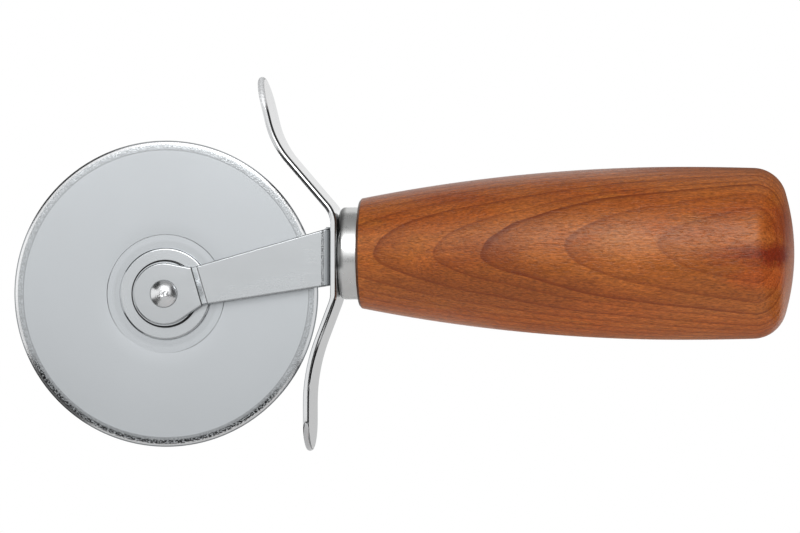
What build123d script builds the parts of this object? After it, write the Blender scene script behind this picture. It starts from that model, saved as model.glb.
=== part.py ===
from build123d import *
import os
from math import atan2, cos, radians, sin, sqrt, tan

# Pizza wheel: a round blade on a riveted axle, carried by a bent sheet fork, with a two-winged
# guard, a drawn ferrule and a turned wooden handle.
# Millimetres. +X runs from the blade to the handle's end, Y along the axle, +Z up.
# The origin is on the handle's axis, half way along the handle.

# Handle
handle_length = 98.6
handle_front_diameter = 24.9
handle_front_rim_chamfer = 0.5
handle_widest_diameter = 39.2
handle_widest_from_front = 72.9
handle_rear_diameter = 38.3
handle_dome_height = 3.9
handle_corner_radius = 7.7

# Ferrule, a drawn cap over a spigot on the handle
ferrule_diameter = 21.0
ferrule_length = 4.45
ferrule_wall = 1.0
ferrule_edge_radius = 1.2
ferrule_lip_chamfer = 0.2

# Guard, a strip bent into a thumb rest above and a finger guard below
guard_width = 20.0
guard_thickness = 1.5
guard_edge_radius = 0.45
guard_end_radius = 13.0
guard_corner_radius = 5.6
guard_root_radius = 6.5
thumb_root_height = 9.0
thumb_lean = 40.7
thumb_slope_length = 21.0
thumb_knee_radius = 21.0
thumb_tip_lean = 13.5
thumb_tip_height = 40.25
finger_root_drop = 10.2
finger_lean = 20.8
finger_slope_length = 17.5
finger_knee_radius = 42.0
finger_tip_lean = 0.0
finger_tip_drop = 45.0

# Fork, a strip bent into a U with tapered arms and joggled eyes
fork_thickness = 1.5
fork_width = 10.4
fork_bend_radius = 1.5
fork_edge_radius = 0.3
axle_drop = 9.2
arm_root_height = 13.15
arm_root_drop = 0.6
neck_width = 8.85
neck_distance = 7.75
neck_blend_radius = 3.0
joggle_tilt = 16.3
joggle_run = 1.35
joggle_radius = 0.35
eye_diameter = 14.1
blade_to_guard_gap = 3.65

# Tang, peened through fork, guard and ferrule and glued into the handle
tang_head_clearance = 0.1
tang_head_height = 1.5
tang_head_lip = 0.75
tang_collar_diameter = 9.0
tang_collar_thickness = 1.6
tang_shank_diameter = 6.0
tang_shank_length = 48.0
tang_point_length = 4.0
glue_gap = 0.1

# Axle
axle_diameter = 4.0
rivet_head_diameter = 6.0
rivet_head_height = 1.55
rivet_head_band = 0.25
sleeve_wall = 1.0
washer_diameter = 15.2
washer_thickness = 1.0
washer_edge_chamfer = 0.15

# Wheel
blade_diameter = 70.0
blade_thickness = 1.0
bevel_width = 2.2
cutting_edge_thickness = 0.12
dish_diameter = 34.0
dish_depth = 0.07
coin_diameter = 27.2
coin_step = 0.08
bush_wall = 1.5
hub_width = 2.6
hub_flange_diameter = 21.1
hub_flange_edge_chamfer = 0.3
running_clearance = 0.03
end_play = 0.1

# Tolerance for picking edges by their place
slack = 0.01

# Places along the handle's axis
handle_front_x = -handle_length / 2
handle_rear_x = handle_length / 2
guard_back_x = handle_front_x - ferrule_length
guard_front_x = guard_back_x - guard_thickness
web_front_x = guard_front_x - fork_thickness
fork_reach = blade_diameter / 2 + blade_to_guard_gap
wheel_x = guard_front_x - fork_reach
wheel_z = -axle_drop
wheel_centre = Pos(wheel_x, 0, wheel_z)

# Reach of the guard's crown, rounded corners and flat end from each tip
guard_half_width = guard_width / 2
guard_crown_drop = guard_end_radius - sqrt(guard_end_radius**2 - guard_half_width**2)
corner_offset = guard_half_width - guard_corner_radius
guard_corner_drop = guard_end_radius - sqrt((guard_end_radius - guard_corner_radius) ** 2 - corner_offset**2)
guard_end_length = guard_corner_drop + guard_thickness

# Layers along the axle, from the blade's middle plane outwards
coin_floor_y = blade_thickness / 2 - dish_depth - coin_step
hub_face_y = hub_width / 2
washer_inner_y = hub_face_y + end_play
washer_outer_y = washer_inner_y + washer_thickness
eye_outer_y = washer_outer_y + fork_thickness
arm_outer_y = fork_width / 2
web_flat_y = arm_outer_y - fork_thickness / 2 - fork_bend_radius

# Radii along the tang
tang_head_radius = web_flat_y - tang_head_clearance
tang_neck_radius = tang_head_radius - tang_head_lip

# Radii along the axle
axle_radius = axle_diameter / 2
sleeve_radius = axle_radius + sleeve_wall
bush_bore_radius = sleeve_radius + running_clearance
bush_radius = bush_bore_radius + bush_wall


def corner(sketch, x, y):
    """The vertex of a sketch that lies nearest to a point."""
    return sketch.vertices().sort_by_distance((x, y, 0))[0]


def ring(inner_radius, outer_radius, low_y, high_y):
    """Half section of a ring around the Y axis."""
    return Pos((inner_radius + outer_radius) / 2, (low_y + high_y) / 2) * Rectangle(
        outer_radius - inner_radius, high_y - low_y
    )


def turned_on_axle(section):
    """A half section turned about the axle and put at the wheel's centre."""
    return wheel_centre * revolve(section, Axis.Y)


def other_side(piece):
    """The twin of a piece on the blade's far side."""
    return mirror(piece, Plane.XZ)


def make_handle():
    """Turned barrel with a domed end, a spigot for the ferrule and a blind bore for the tang."""
    front_radius = handle_front_diameter / 2
    widest = (handle_front_x + handle_widest_from_front, handle_widest_diameter / 2)
    rear_corner = (handle_rear_x - handle_dome_height, handle_rear_diameter / 2)
    spigot_radius = ferrule_diameter / 2 - ferrule_wall - glue_gap
    spigot_x = guard_back_x + ferrule_wall + glue_gap
    collar_radius = tang_collar_diameter / 2 + glue_gap
    collar_x = guard_back_x + ferrule_wall + tang_collar_thickness + glue_gap
    bore_radius = tang_shank_diameter / 2 + glue_gap
    bore_end_x = collar_x + tang_shank_length
    bore_point_x = bore_end_x + bore_radius
    outline = [
        Polyline(
            (handle_rear_x, 0),
            (bore_point_x, 0),
            (bore_end_x, bore_radius),
            (collar_x, bore_radius),
            (collar_x, collar_radius),
            (spigot_x, collar_radius),
            (spigot_x, spigot_radius),
            (handle_front_x, spigot_radius),
            (handle_front_x, front_radius),
        ),
        TangentArc(widest, (handle_front_x, front_radius), tangent=(-1, 0)),
        TangentArc(widest, rear_corner, tangent=(1, 0)),
        TangentArc((handle_rear_x, 0), rear_corner, tangent=(0, 1)),
    ]
    section = make_face(outline)
    section = fillet(corner(section, *rear_corner), handle_corner_radius)
    section = chamfer(corner(section, handle_front_x, front_radius), handle_front_rim_chamfer)
    return revolve(section, Axis.X)


def make_ferrule():
    """Drawn cap with a rounded front edge, clamped between guard and tang collar."""
    radius = ferrule_diameter / 2
    inside_radius = radius - ferrule_wall
    inside_x = guard_back_x + ferrule_wall
    section = make_face(
        Polyline(
            (guard_back_x, tang_neck_radius),
            (guard_back_x, radius),
            (handle_front_x, radius),
            (handle_front_x, inside_radius),
            (inside_x, inside_radius),
            (inside_x, tang_neck_radius),
            close=True,
        )
    )
    section = fillet(corner(section, guard_back_x, radius), ferrule_edge_radius)
    section = chamfer(corner(section, handle_front_x, radius), ferrule_lip_chamfer)
    return revolve(section, Axis.X)


def guard_knees():
    """Where the middle lines of the bent strip's straight runs meet, from the thumb's knee down."""
    middle_x = guard_front_x + guard_thickness / 2
    thumb_angle = radians(thumb_lean)
    finger_angle = radians(finger_lean)
    return [
        Vector(
            middle_x - thumb_slope_length * sin(thumb_angle),
            thumb_root_height + thumb_slope_length * cos(thumb_angle),
        ),
        Vector(middle_x, thumb_root_height),
        Vector(middle_x, -finger_root_drop),
        Vector(
            middle_x - finger_slope_length * sin(finger_angle),
            -finger_root_drop - finger_slope_length * cos(finger_angle),
        ),
    ]


def guard_end(knee, tip_z, lean):
    """A tip of the strip's middle line, and the strip's direction there."""
    towards_tip = 1 if tip_z > knee.Y else -1
    direction = Vector(-sin(radians(lean)), towards_tip * cos(radians(lean)))
    return knee + direction * ((tip_z - knee.Y) / direction.Y), direction


def end_plate(tip, direction):
    """Flat end of the strip, crowned and with round corners."""
    left_corner = (-guard_half_width, -guard_crown_drop)
    right_corner = (guard_half_width, -guard_crown_drop)
    left_foot = (-guard_half_width, -guard_end_length)
    right_foot = (guard_half_width, -guard_end_length)
    outline = make_face(
        [
            Polyline(left_corner, left_foot, right_foot, right_corner),
            ThreePointArc(right_corner, (0, 0), left_corner),
        ]
    )
    for point in (left_corner, right_corner):
        outline = fillet(corner(outline, *point), guard_corner_radius)
    face_plane = Plane((tip.X, 0, tip.Y), x_dir=(0, 1, 0), z_dir=(direction.Y, 0, -direction.X))
    return extrude(face_plane * outline, guard_thickness / 2, both=True)


def make_guard():
    """Bent strip with rounded ends and edges, holed for the tang's neck."""
    knees = guard_knees()
    thumb_tip, thumb_direction = guard_end(knees[0], thumb_tip_height, thumb_tip_lean)
    finger_tip, finger_direction = guard_end(knees[-1], -finger_tip_drop, finger_tip_lean)
    bend_line = FilletPolyline(
        thumb_tip - thumb_direction * guard_end_length,
        *knees,
        finger_tip - finger_direction * guard_end_length,
        radius=[thumb_knee_radius, guard_root_radius, guard_root_radius, finger_knee_radius],
    )
    guard = extrude(Plane.XZ * trace(bend_line, guard_thickness), guard_half_width, both=True)
    guard += end_plate(thumb_tip, thumb_direction)
    guard += end_plate(finger_tip, finger_direction)
    guard = fillet(guard.edges(), guard_edge_radius)
    return guard - extrude(Plane.YZ * Circle(tang_neck_radius), -handle_length)


def arm_outline():
    """Side outline of an arm, with the axle at its origin: eye, neck and taper to the guard."""
    root_z = axle_drop - arm_root_drop
    arm_angle = atan2(root_z, fork_reach)
    neck = Vector(neck_distance * cos(arm_angle), neck_distance * sin(arm_angle))
    tilt = radians(joggle_tilt)
    across = Vector(-sin(tilt), cos(tilt)) * (neck_width / 2)
    neck_top = neck + across
    neck_low = neck - across
    eye = Circle(eye_diameter / 2)
    head = make_hull([*eye.edges(), Line(neck_top, neck_low)])
    taper = make_face(
        Polyline(
            neck_top,
            neck_low,
            (fork_reach, root_z - arm_root_height / 2),
            (fork_reach, root_z + arm_root_height / 2),
            close=True,
        )
    )
    outline = head + taper
    for point in (neck_top, neck_low):
        outline = fillet(corner(outline, point.X, point.Y), neck_blend_radius)
    return outline


def joggled_side():
    """Section of one arm along its length: eye, pressed joggle and flat arm."""
    arm_angle = atan2(axle_drop - arm_root_drop, fork_reach)
    joggle_start = neck_distance * cos(radians(joggle_tilt) - arm_angle)
    joggle_end = joggle_start + joggle_run
    outer = [
        (-eye_diameter, eye_outer_y),
        (joggle_start, eye_outer_y),
        (joggle_end, arm_outer_y),
        (2 * fork_reach, arm_outer_y),
    ]
    inner = [(x, y - fork_thickness) for x, y in reversed(outer)]
    section = make_face(Polyline(*outer, *inner, close=True))
    for point in (*outer[1:3], *inner[1:3]):
        section = fillet(corner(section, *point), joggle_radius)
    return section


def make_fork():
    """U-shaped strip: web against the guard, tapered arms, eyes joggled in towards the blade."""
    arm_y = arm_outer_y - fork_thickness / 2
    web_x = guard_front_x - fork_thickness / 2
    bend_x = web_x - fork_bend_radius
    tilt = radians(joggle_tilt)
    along = (cos(tilt), 0, sin(tilt))
    joggle_frame = Plane((wheel_x, 0, wheel_z), x_dir=along, z_dir=(-along[2], 0, along[0]))
    side = extrude(joggle_frame * joggled_side(), fork_reach, both=True)
    side = split(side, Plane.YZ.offset(bend_x), keep=Keep.BOTTOM)
    bend = JernArc((bend_x, arm_y), (1, 0), fork_bend_radius, -90)
    web_line = bend + Line(bend @ 1, (web_x, -web_flat_y)) + mirror(bend, Plane.XZ)
    web = extrude(trace(web_line, fork_thickness), fork_reach, both=True)
    blank = wheel_centre * (Plane.XZ * arm_outline())
    fork = (side + other_side(side) + web) & extrude(blank, fork_width, both=True)
    outer_edges = fork.edges().filter_by_position(Axis.Y, arm_outer_y - slack, arm_outer_y + slack)
    fork = fillet(outer_edges.sort_by(SortBy.LENGTH)[-1], fork_edge_radius)
    axle_hole = wheel_centre * extrude(Plane.XZ * Circle(axle_radius), fork_width, both=True)
    neck_hole = extrude(Plane.YZ * Circle(tang_neck_radius), -handle_length)
    return fork - axle_hole - neck_hole


def make_tang():
    """Peened head, neck, clamping collar and a pointed shank."""
    collar_radius = tang_collar_diameter / 2
    shank_radius = tang_shank_diameter / 2
    collar_x = guard_back_x + ferrule_wall
    shank_x = collar_x + tang_collar_thickness
    point_x = shank_x + tang_shank_length - tang_point_length
    head_x = web_front_x - tang_head_height
    section = make_face(
        [
            Polyline(
                (web_front_x, tang_head_radius),
                (web_front_x, tang_neck_radius),
                (collar_x, tang_neck_radius),
                (collar_x, collar_radius),
                (shank_x, collar_radius),
                (shank_x, shank_radius),
                (point_x, shank_radius),
                (point_x + tang_point_length, shank_radius / 2),
                (point_x + tang_point_length, 0),
                (head_x, 0),
            ),
            TangentArc((head_x, 0), (web_front_x, tang_head_radius), tangent=(0, 1)),
        ]
    )
    return revolve(section, Axis.X)


def make_axle_rivet():
    """Rivet with a domed head on each side of the fork."""
    head_radius = rivet_head_diameter / 2
    band_y = eye_outer_y + rivet_head_band
    head_y = eye_outer_y + rivet_head_height
    half = make_face(
        [
            Polyline(
                (0, head_y),
                (0, 0),
                (axle_radius, 0),
                (axle_radius, eye_outer_y),
                (head_radius, eye_outer_y),
                (head_radius, band_y),
            ),
            TangentArc((0, head_y), (head_radius, band_y), tangent=(1, 0)),
        ]
    )
    return turned_on_axle(half + mirror(half, Plane.XZ))


def make_axle_sleeve():
    """Distance tube on the rivet, which the wheel's bush runs on."""
    return turned_on_axle(ring(axle_radius, sleeve_radius, -washer_inner_y, washer_inner_y))


def make_spacer_washer():
    """Washer between the rear eye and the sleeve's end."""
    radius = washer_diameter / 2
    section = ring(axle_radius, radius, washer_inner_y, washer_outer_y)
    section = chamfer(corner(section, radius, washer_outer_y), washer_edge_chamfer)
    return turned_on_axle(section)


def make_blade():
    """Disc bevelled on both sides, dished and coined around the hub."""
    radius = blade_diameter / 2
    face_y = blade_thickness / 2
    coin_radius = coin_diameter / 2
    half = make_face(
        Polyline(
            (bush_radius, 0),
            (bush_radius, coin_floor_y),
            (coin_radius - coin_step, coin_floor_y),
            (coin_radius, coin_floor_y + coin_step),
            (dish_diameter / 2, face_y),
            (radius - bevel_width, face_y),
            (radius, cutting_edge_thickness / 2),
            (radius, 0),
            close=True,
        )
    )
    return turned_on_axle(half + mirror(half, Plane.XZ))


def make_hub_bush():
    """Bearing bush pressed through the blade and its hub flanges."""
    return turned_on_axle(ring(bush_bore_radius, bush_radius, -hub_face_y, hub_face_y))


def make_hub_flange():
    """Raised hub plate on the blade's rear face."""
    radius = hub_flange_diameter / 2
    section = ring(bush_radius, radius, coin_floor_y, hub_face_y)
    section = chamfer(corner(section, radius, hub_face_y), hub_flange_edge_chamfer)
    return turned_on_axle(section)


def main():
    """Builds every piece and writes each to its own file."""
    washer = make_spacer_washer()
    flange = make_hub_flange()
    pieces = {
        "handle": make_handle(),
        "ferrule": make_ferrule(),
        "guard": make_guard(),
        "fork": make_fork(),
        "tang": make_tang(),
        "axle_rivet": make_axle_rivet(),
        "axle_sleeve": make_axle_sleeve(),
        "spacer_washer_front": other_side(washer),
        "spacer_washer_rear": washer,
        "blade": make_blade(),
        "hub_bush": make_hub_bush(),
        "hub_flange_front": other_side(flange),
        "hub_flange_rear": flange,
    }
    os.makedirs("parts", exist_ok=True)
    for name, piece in pieces.items():
        export_step(piece, f"parts/{name}.step")
        print(name, round(piece.volume, 1))


main()
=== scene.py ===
"""Pizza wheel with a wooden handle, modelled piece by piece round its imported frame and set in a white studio.

Meshes are modelled in millimetres, in the part's own frame, and scaled to metres as each piece is finished.
+X runs from the blade to the handle's end, Y along the axle, +Z up. The near side is -Y.
"""

import logging
import math
from collections.abc import Callable
from dataclasses import dataclass
from enum import Enum
from functools import cache, partial, reduce

import bmesh
import bpy
from bmesh.types import BMesh, BMFace, BMVert
from bpy.types import Material, Node, NodeSocket, NodeTree, Object
from mathutils import Matrix, Vector, noise


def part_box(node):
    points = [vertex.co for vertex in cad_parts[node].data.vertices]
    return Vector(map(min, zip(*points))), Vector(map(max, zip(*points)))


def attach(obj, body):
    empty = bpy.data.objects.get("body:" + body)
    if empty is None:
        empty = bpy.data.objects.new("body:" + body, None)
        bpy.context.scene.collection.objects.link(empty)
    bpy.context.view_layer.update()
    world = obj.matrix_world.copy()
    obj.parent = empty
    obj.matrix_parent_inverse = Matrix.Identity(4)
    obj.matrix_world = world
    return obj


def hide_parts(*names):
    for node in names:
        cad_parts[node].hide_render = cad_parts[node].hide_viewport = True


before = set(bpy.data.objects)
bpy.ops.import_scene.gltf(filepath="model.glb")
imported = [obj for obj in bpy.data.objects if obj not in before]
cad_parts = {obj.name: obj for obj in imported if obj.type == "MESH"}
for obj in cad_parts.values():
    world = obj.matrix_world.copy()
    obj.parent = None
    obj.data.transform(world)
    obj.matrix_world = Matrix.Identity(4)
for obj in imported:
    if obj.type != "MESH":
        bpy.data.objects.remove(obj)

log = logging.getLogger("pizza_wheel")

Point = tuple[float, float]
Place = tuple[float, float, float]
Colour = tuple[float, float, float, float]
Range = tuple[float, float]
Stops = tuple[tuple[float, float], ...]

MILLIMETRE = 0.001
PER_MILLIMETRE = 1000.0
WELD = 1e-4
SQUARE_ON = 0.99
QUARTER_TURN = math.pi / 2
FULL_TURN = 2 * math.pi
RIVET_RADIUS = 2.0
TANG_NECK_RADIUS = 2.1
RIM_LAYER = "rim"

X_AXIS = Vector((1, 0, 0))
Y_AXIS = Vector((0, 1, 0))
Z_AXIS = Vector((0, 0, 1))
ORIGIN = Vector((0, 0, 0))
FULL_SCALE = Vector((1, 1, 1))
WHITE = (1.0, 1.0, 1.0, 1.0)


@cache
def node_box(node: str) -> tuple[Vector, Vector]:
    """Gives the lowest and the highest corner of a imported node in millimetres."""
    low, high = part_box(node)
    return low * PER_MILLIMETRE, high * PER_MILLIMETRE


def middle_of(node: str) -> Vector:
    """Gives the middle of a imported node's box in millimetres."""
    low, high = node_box(node)
    return (low + high) / 2


def radius_of(node: str) -> float:
    """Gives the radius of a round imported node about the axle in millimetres."""
    low, high = node_box(node)
    return (high.x - low.x) / 2


def round_off(mesh: BMesh, geometry: list, affect: str, reach: float, segments: int) -> None:
    """Rounds the edges of a plate or the corners of a wire.

    Args:
        mesh: The plate or the wire.
        geometry: Its edges or vertices to round.
        affect: EDGES or VERTICES.
        reach: How far from them the rounding starts.
        segments: Number of steps across it.
    """
    bmesh.ops.bevel(
        mesh,
        geom=geometry,
        offset=reach,
        offset_type="OFFSET",
        affect=affect,
        segments=segments,
        profile=0.5,
        material=-1,
        clamp_overlap=affect == "EDGES",
    )


def close_up(mesh: BMesh) -> None:
    """Welds a mesh's doubled points and turns its faces outwards."""
    bmesh.ops.remove_doubles(mesh, verts=mesh.verts[:], dist=WELD)
    bmesh.ops.recalc_face_normals(mesh, faces=mesh.faces[:])


class Pen:
    """Draws a wire in a plane, by straight lines and arcs, and makes a mesh of it."""

    def __init__(self, along: Vector, across: Vector, origin: Vector) -> None:
        """Lays the drawing plane.

        Args:
            along: Direction of a point's first number.
            across: Direction of a point's second number.
            origin: Where the point (0, 0) lies.
        """
        self.mesh = bmesh.new()
        self.along = along
        self.across = across
        self.origin = origin
        self.here: Point = (0.0, 0.0)
        self.tip: BMVert | None = None
        self.first: BMVert | None = None

    def place(self, point: Point) -> Vector:
        """Gives a drawn point's place in space."""
        return self.origin + self.along * point[0] + self.across * point[1]

    def start(self, point: Point) -> "Pen":
        """Puts the pen down at a point.

        Args:
            point: Where the wire starts.

        Returns:
            The pen, for the first stroke.
        """
        self.tip = self.mesh.verts.new(self.place(point))
        self.first = self.tip
        self.here = point
        return self

    def line(self, *points: Point) -> "Pen":
        """Draws straight lines through the points.

        Args:
            points: The points to pass, in order.

        Returns:
            The pen, for the next stroke.
        """
        for point in points:
            grown = bmesh.ops.extrude_vert_indiv(self.mesh, verts=[self.tip])
            self.tip = grown["verts"][0]
            self.tip.co = self.place(point)
            self.here = point
        return self

    def arc(self, centre: Point, sweep: float, steps: int) -> "Pen":
        """Draws an arc from where the pen is.

        Args:
            centre: Centre of the arc.
            sweep: Angle of the arc in radians, positive from along towards across.
            steps: Number of chords.

        Returns:
            The pen, for the next stroke.
        """
        spun = bmesh.ops.spin(
            self.mesh,
            geom=[self.tip],
            cent=self.place(centre),
            axis=self.along.cross(self.across),
            angle=sweep,
            steps=steps,
        )
        self.tip = next(item for item in spun["geom_last"] if isinstance(item, BMVert))
        offset = self.tip.co - self.origin
        self.here = (offset.dot(self.along), offset.dot(self.across))
        return self

    def arc_to(self, centre: Point, end: Point, steps: int) -> "Pen":
        """Draws the shorter arc about a centre to a point.

        Args:
            centre: Centre of the arc.
            end: Where the arc ends.
            steps: Number of chords.

        Returns:
            The pen, for the next stroke.
        """
        start_angle = math.atan2(self.here[1] - centre[1], self.here[0] - centre[0])
        end_angle = math.atan2(end[1] - centre[1], end[0] - centre[0])
        self.arc(centre, math.remainder(end_angle - start_angle, FULL_TURN), steps)
        self.tip.co = self.place(end)
        self.here = end
        return self

    def close(self) -> "Pen":
        """Joins the pen's last point to its first."""
        self.mesh.edges.new((self.tip, self.first))
        return self

    def round_corner(self, point: Point, reach: float, segments: int) -> "Pen":
        """Rounds the corner of the wire that is nearest to a point.

        Args:
            point: Where the corner is.
            reach: How far along its two lines the rounding starts.
            segments: Number of chords.

        Returns:
            The pen, for the next stroke.
        """
        place = self.place(point)
        corner = min(self.mesh.verts, key=lambda vert: (vert.co - place).length)
        round_off(self.mesh, [corner], "VERTICES", reach, segments)
        return self

    def turned(self, segments: int) -> BMesh:
        """Turns the drawn half section about the plane's first direction.

        Args:
            segments: Number of steps round.

        Returns:
            The closed turned mesh.
        """
        bmesh.ops.spin(
            self.mesh,
            geom=self.mesh.verts[:] + self.mesh.edges[:],
            cent=self.origin,
            axis=self.along,
            angle=FULL_TURN,
            steps=segments,
            use_merge=True,
        )
        close_up(self.mesh)
        return self.mesh

    def plate(self, thickness: Vector) -> BMesh:
        """Fills the closed wire and gives it a thickness.

        Args:
            thickness: Direction and depth of the plate.

        Returns:
            The closed plate.
        """
        face = bmesh.ops.contextual_create(self.mesh, geom=self.mesh.edges[:])["faces"][0]
        grown = bmesh.ops.extrude_face_region(self.mesh, geom=[face], use_keep_orig=True)
        moved = [item for item in grown["geom"] if isinstance(item, BMVert)]
        bmesh.ops.translate(self.mesh, verts=moved, vec=thickness)
        bmesh.ops.recalc_face_normals(self.mesh, faces=self.mesh.faces[:])
        return self.mesh


def axle_pen(axle: Vector) -> Pen:
    """Gives a pen whose points are (place along the axle, radius)."""
    return Pen(Y_AXIS, X_AXIS, Vector((axle.x, 0, axle.z)))


def ring_section(axle: Vector, node: str, bore: float) -> Pen:
    """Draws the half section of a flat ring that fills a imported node's box.

    Args:
        axle: A point of the axle.
        node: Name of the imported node.
        bore: Radius of the ring's hole.

    Returns:
        The pen, with the closed section.
    """
    low, high = node_box(node)
    radius = radius_of(node)
    pen = axle_pen(axle).start((low.y, bore))
    return pen.line((low.y, radius), (high.y, radius), (high.y, bore)).close()


def cut_at(mesh: BMesh, point: Vector, normal: Vector) -> None:
    """Cuts a mesh's faces along the plane through a point, so that the mesh can bend there."""
    whole = mesh.verts[:] + mesh.edges[:] + mesh.faces[:]
    bmesh.ops.bisect_plane(mesh, geom=whole, plane_co=point, plane_no=normal, dist=WELD)


def faces_on_line(mesh: BMesh, centre: Vector, axis: Vector) -> list[BMFace]:
    """Finds the faces square to a line that the line passes through.

    Args:
        mesh: The mesh to search.
        centre: A point of the line.
        axis: Direction of the line.

    Returns:
        The faces, in no order.
    """
    found = []
    for face in mesh.faces:
        if abs(face.normal.dot(axis)) < SQUARE_ON:
            continue
        depth = (face.calc_center_median() - centre).dot(axis)
        if bmesh.geometry.intersect_face_point(face, centre + axis * depth):
            found.append(face)
    return found


def drill(mesh: BMesh, centre: Vector, axis: Vector, radius: float, segments: int) -> None:
    """Drills a round hole through the two plate faces that a line passes.

    Args:
        mesh: The plate.
        centre: A point of the hole's axis.
        axis: Direction of the hole's axis.
        radius: Radius of the hole.
        segments: Number of steps round it.
    """
    turn = axis.to_track_quat("Z", "Y").to_matrix().to_4x4()
    rings = []
    for face in faces_on_line(mesh, centre, axis):
        depth = (face.calc_center_median() - centre).dot(axis)
        border = list(face.edges)
        circle = bmesh.ops.create_circle(
            mesh,
            cap_ends=False,
            segments=segments,
            radius=radius,
            matrix=Matrix.Translation(centre + axis * depth) @ turn,
        )
        ring = list({edge for vert in circle["verts"] for edge in vert.link_edges})
        bmesh.ops.delete(mesh, geom=[face], context="FACES_ONLY")
        bmesh.ops.triangle_fill(mesh, edges=border + ring, use_beauty=True, use_dissolve=False)
        rings.extend(ring)
    bmesh.ops.bridge_loops(mesh, edges=rings)


@dataclass(frozen=True)
class Seat:
    """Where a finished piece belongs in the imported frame."""

    body: str
    slot: str
    stands_for: str


def finish_piece(mesh: BMesh, name: str, material: Material, seat: Seat, crease: float) -> None:
    """Makes an object of a mesh, dresses it and seats it in the frame.

    Args:
        mesh: The piece in millimetres. It is freed.
        name: Name of the piece.
        material: Its finish.
        seat: Its body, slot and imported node.
        crease: Angle in degrees from which an edge stays sharp.
    """
    bmesh.ops.scale(mesh, vec=FULL_SCALE * MILLIMETRE, verts=mesh.verts[:])
    data = bpy.data.meshes.new(name)
    mesh.to_mesh(data)
    mesh.free()
    data.shade_smooth()
    data.set_sharp_from_angle(angle=math.radians(crease))
    data.materials.append(material)
    piece = bpy.data.objects.new(name, data)
    bpy.context.scene.collection.objects.link(piece)
    weighted = piece.modifiers.new("weighted_normals", "WEIGHTED_NORMAL")
    weighted.keep_sharp = True
    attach(piece, seat.body)
    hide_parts(seat.stands_for)
    log.info("%s: %d faces, %s on %s", name, len(data.polygons), seat.slot, seat.body)


def dress(node: Object, material: Material) -> None:
    """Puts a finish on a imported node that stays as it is.

    Args:
        node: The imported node's object.
        material: Its finish.
    """
    for slot in node.material_slots:
        slot.material = material
    log.info("%s: dressed with %s", node.name, material.name)


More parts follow.
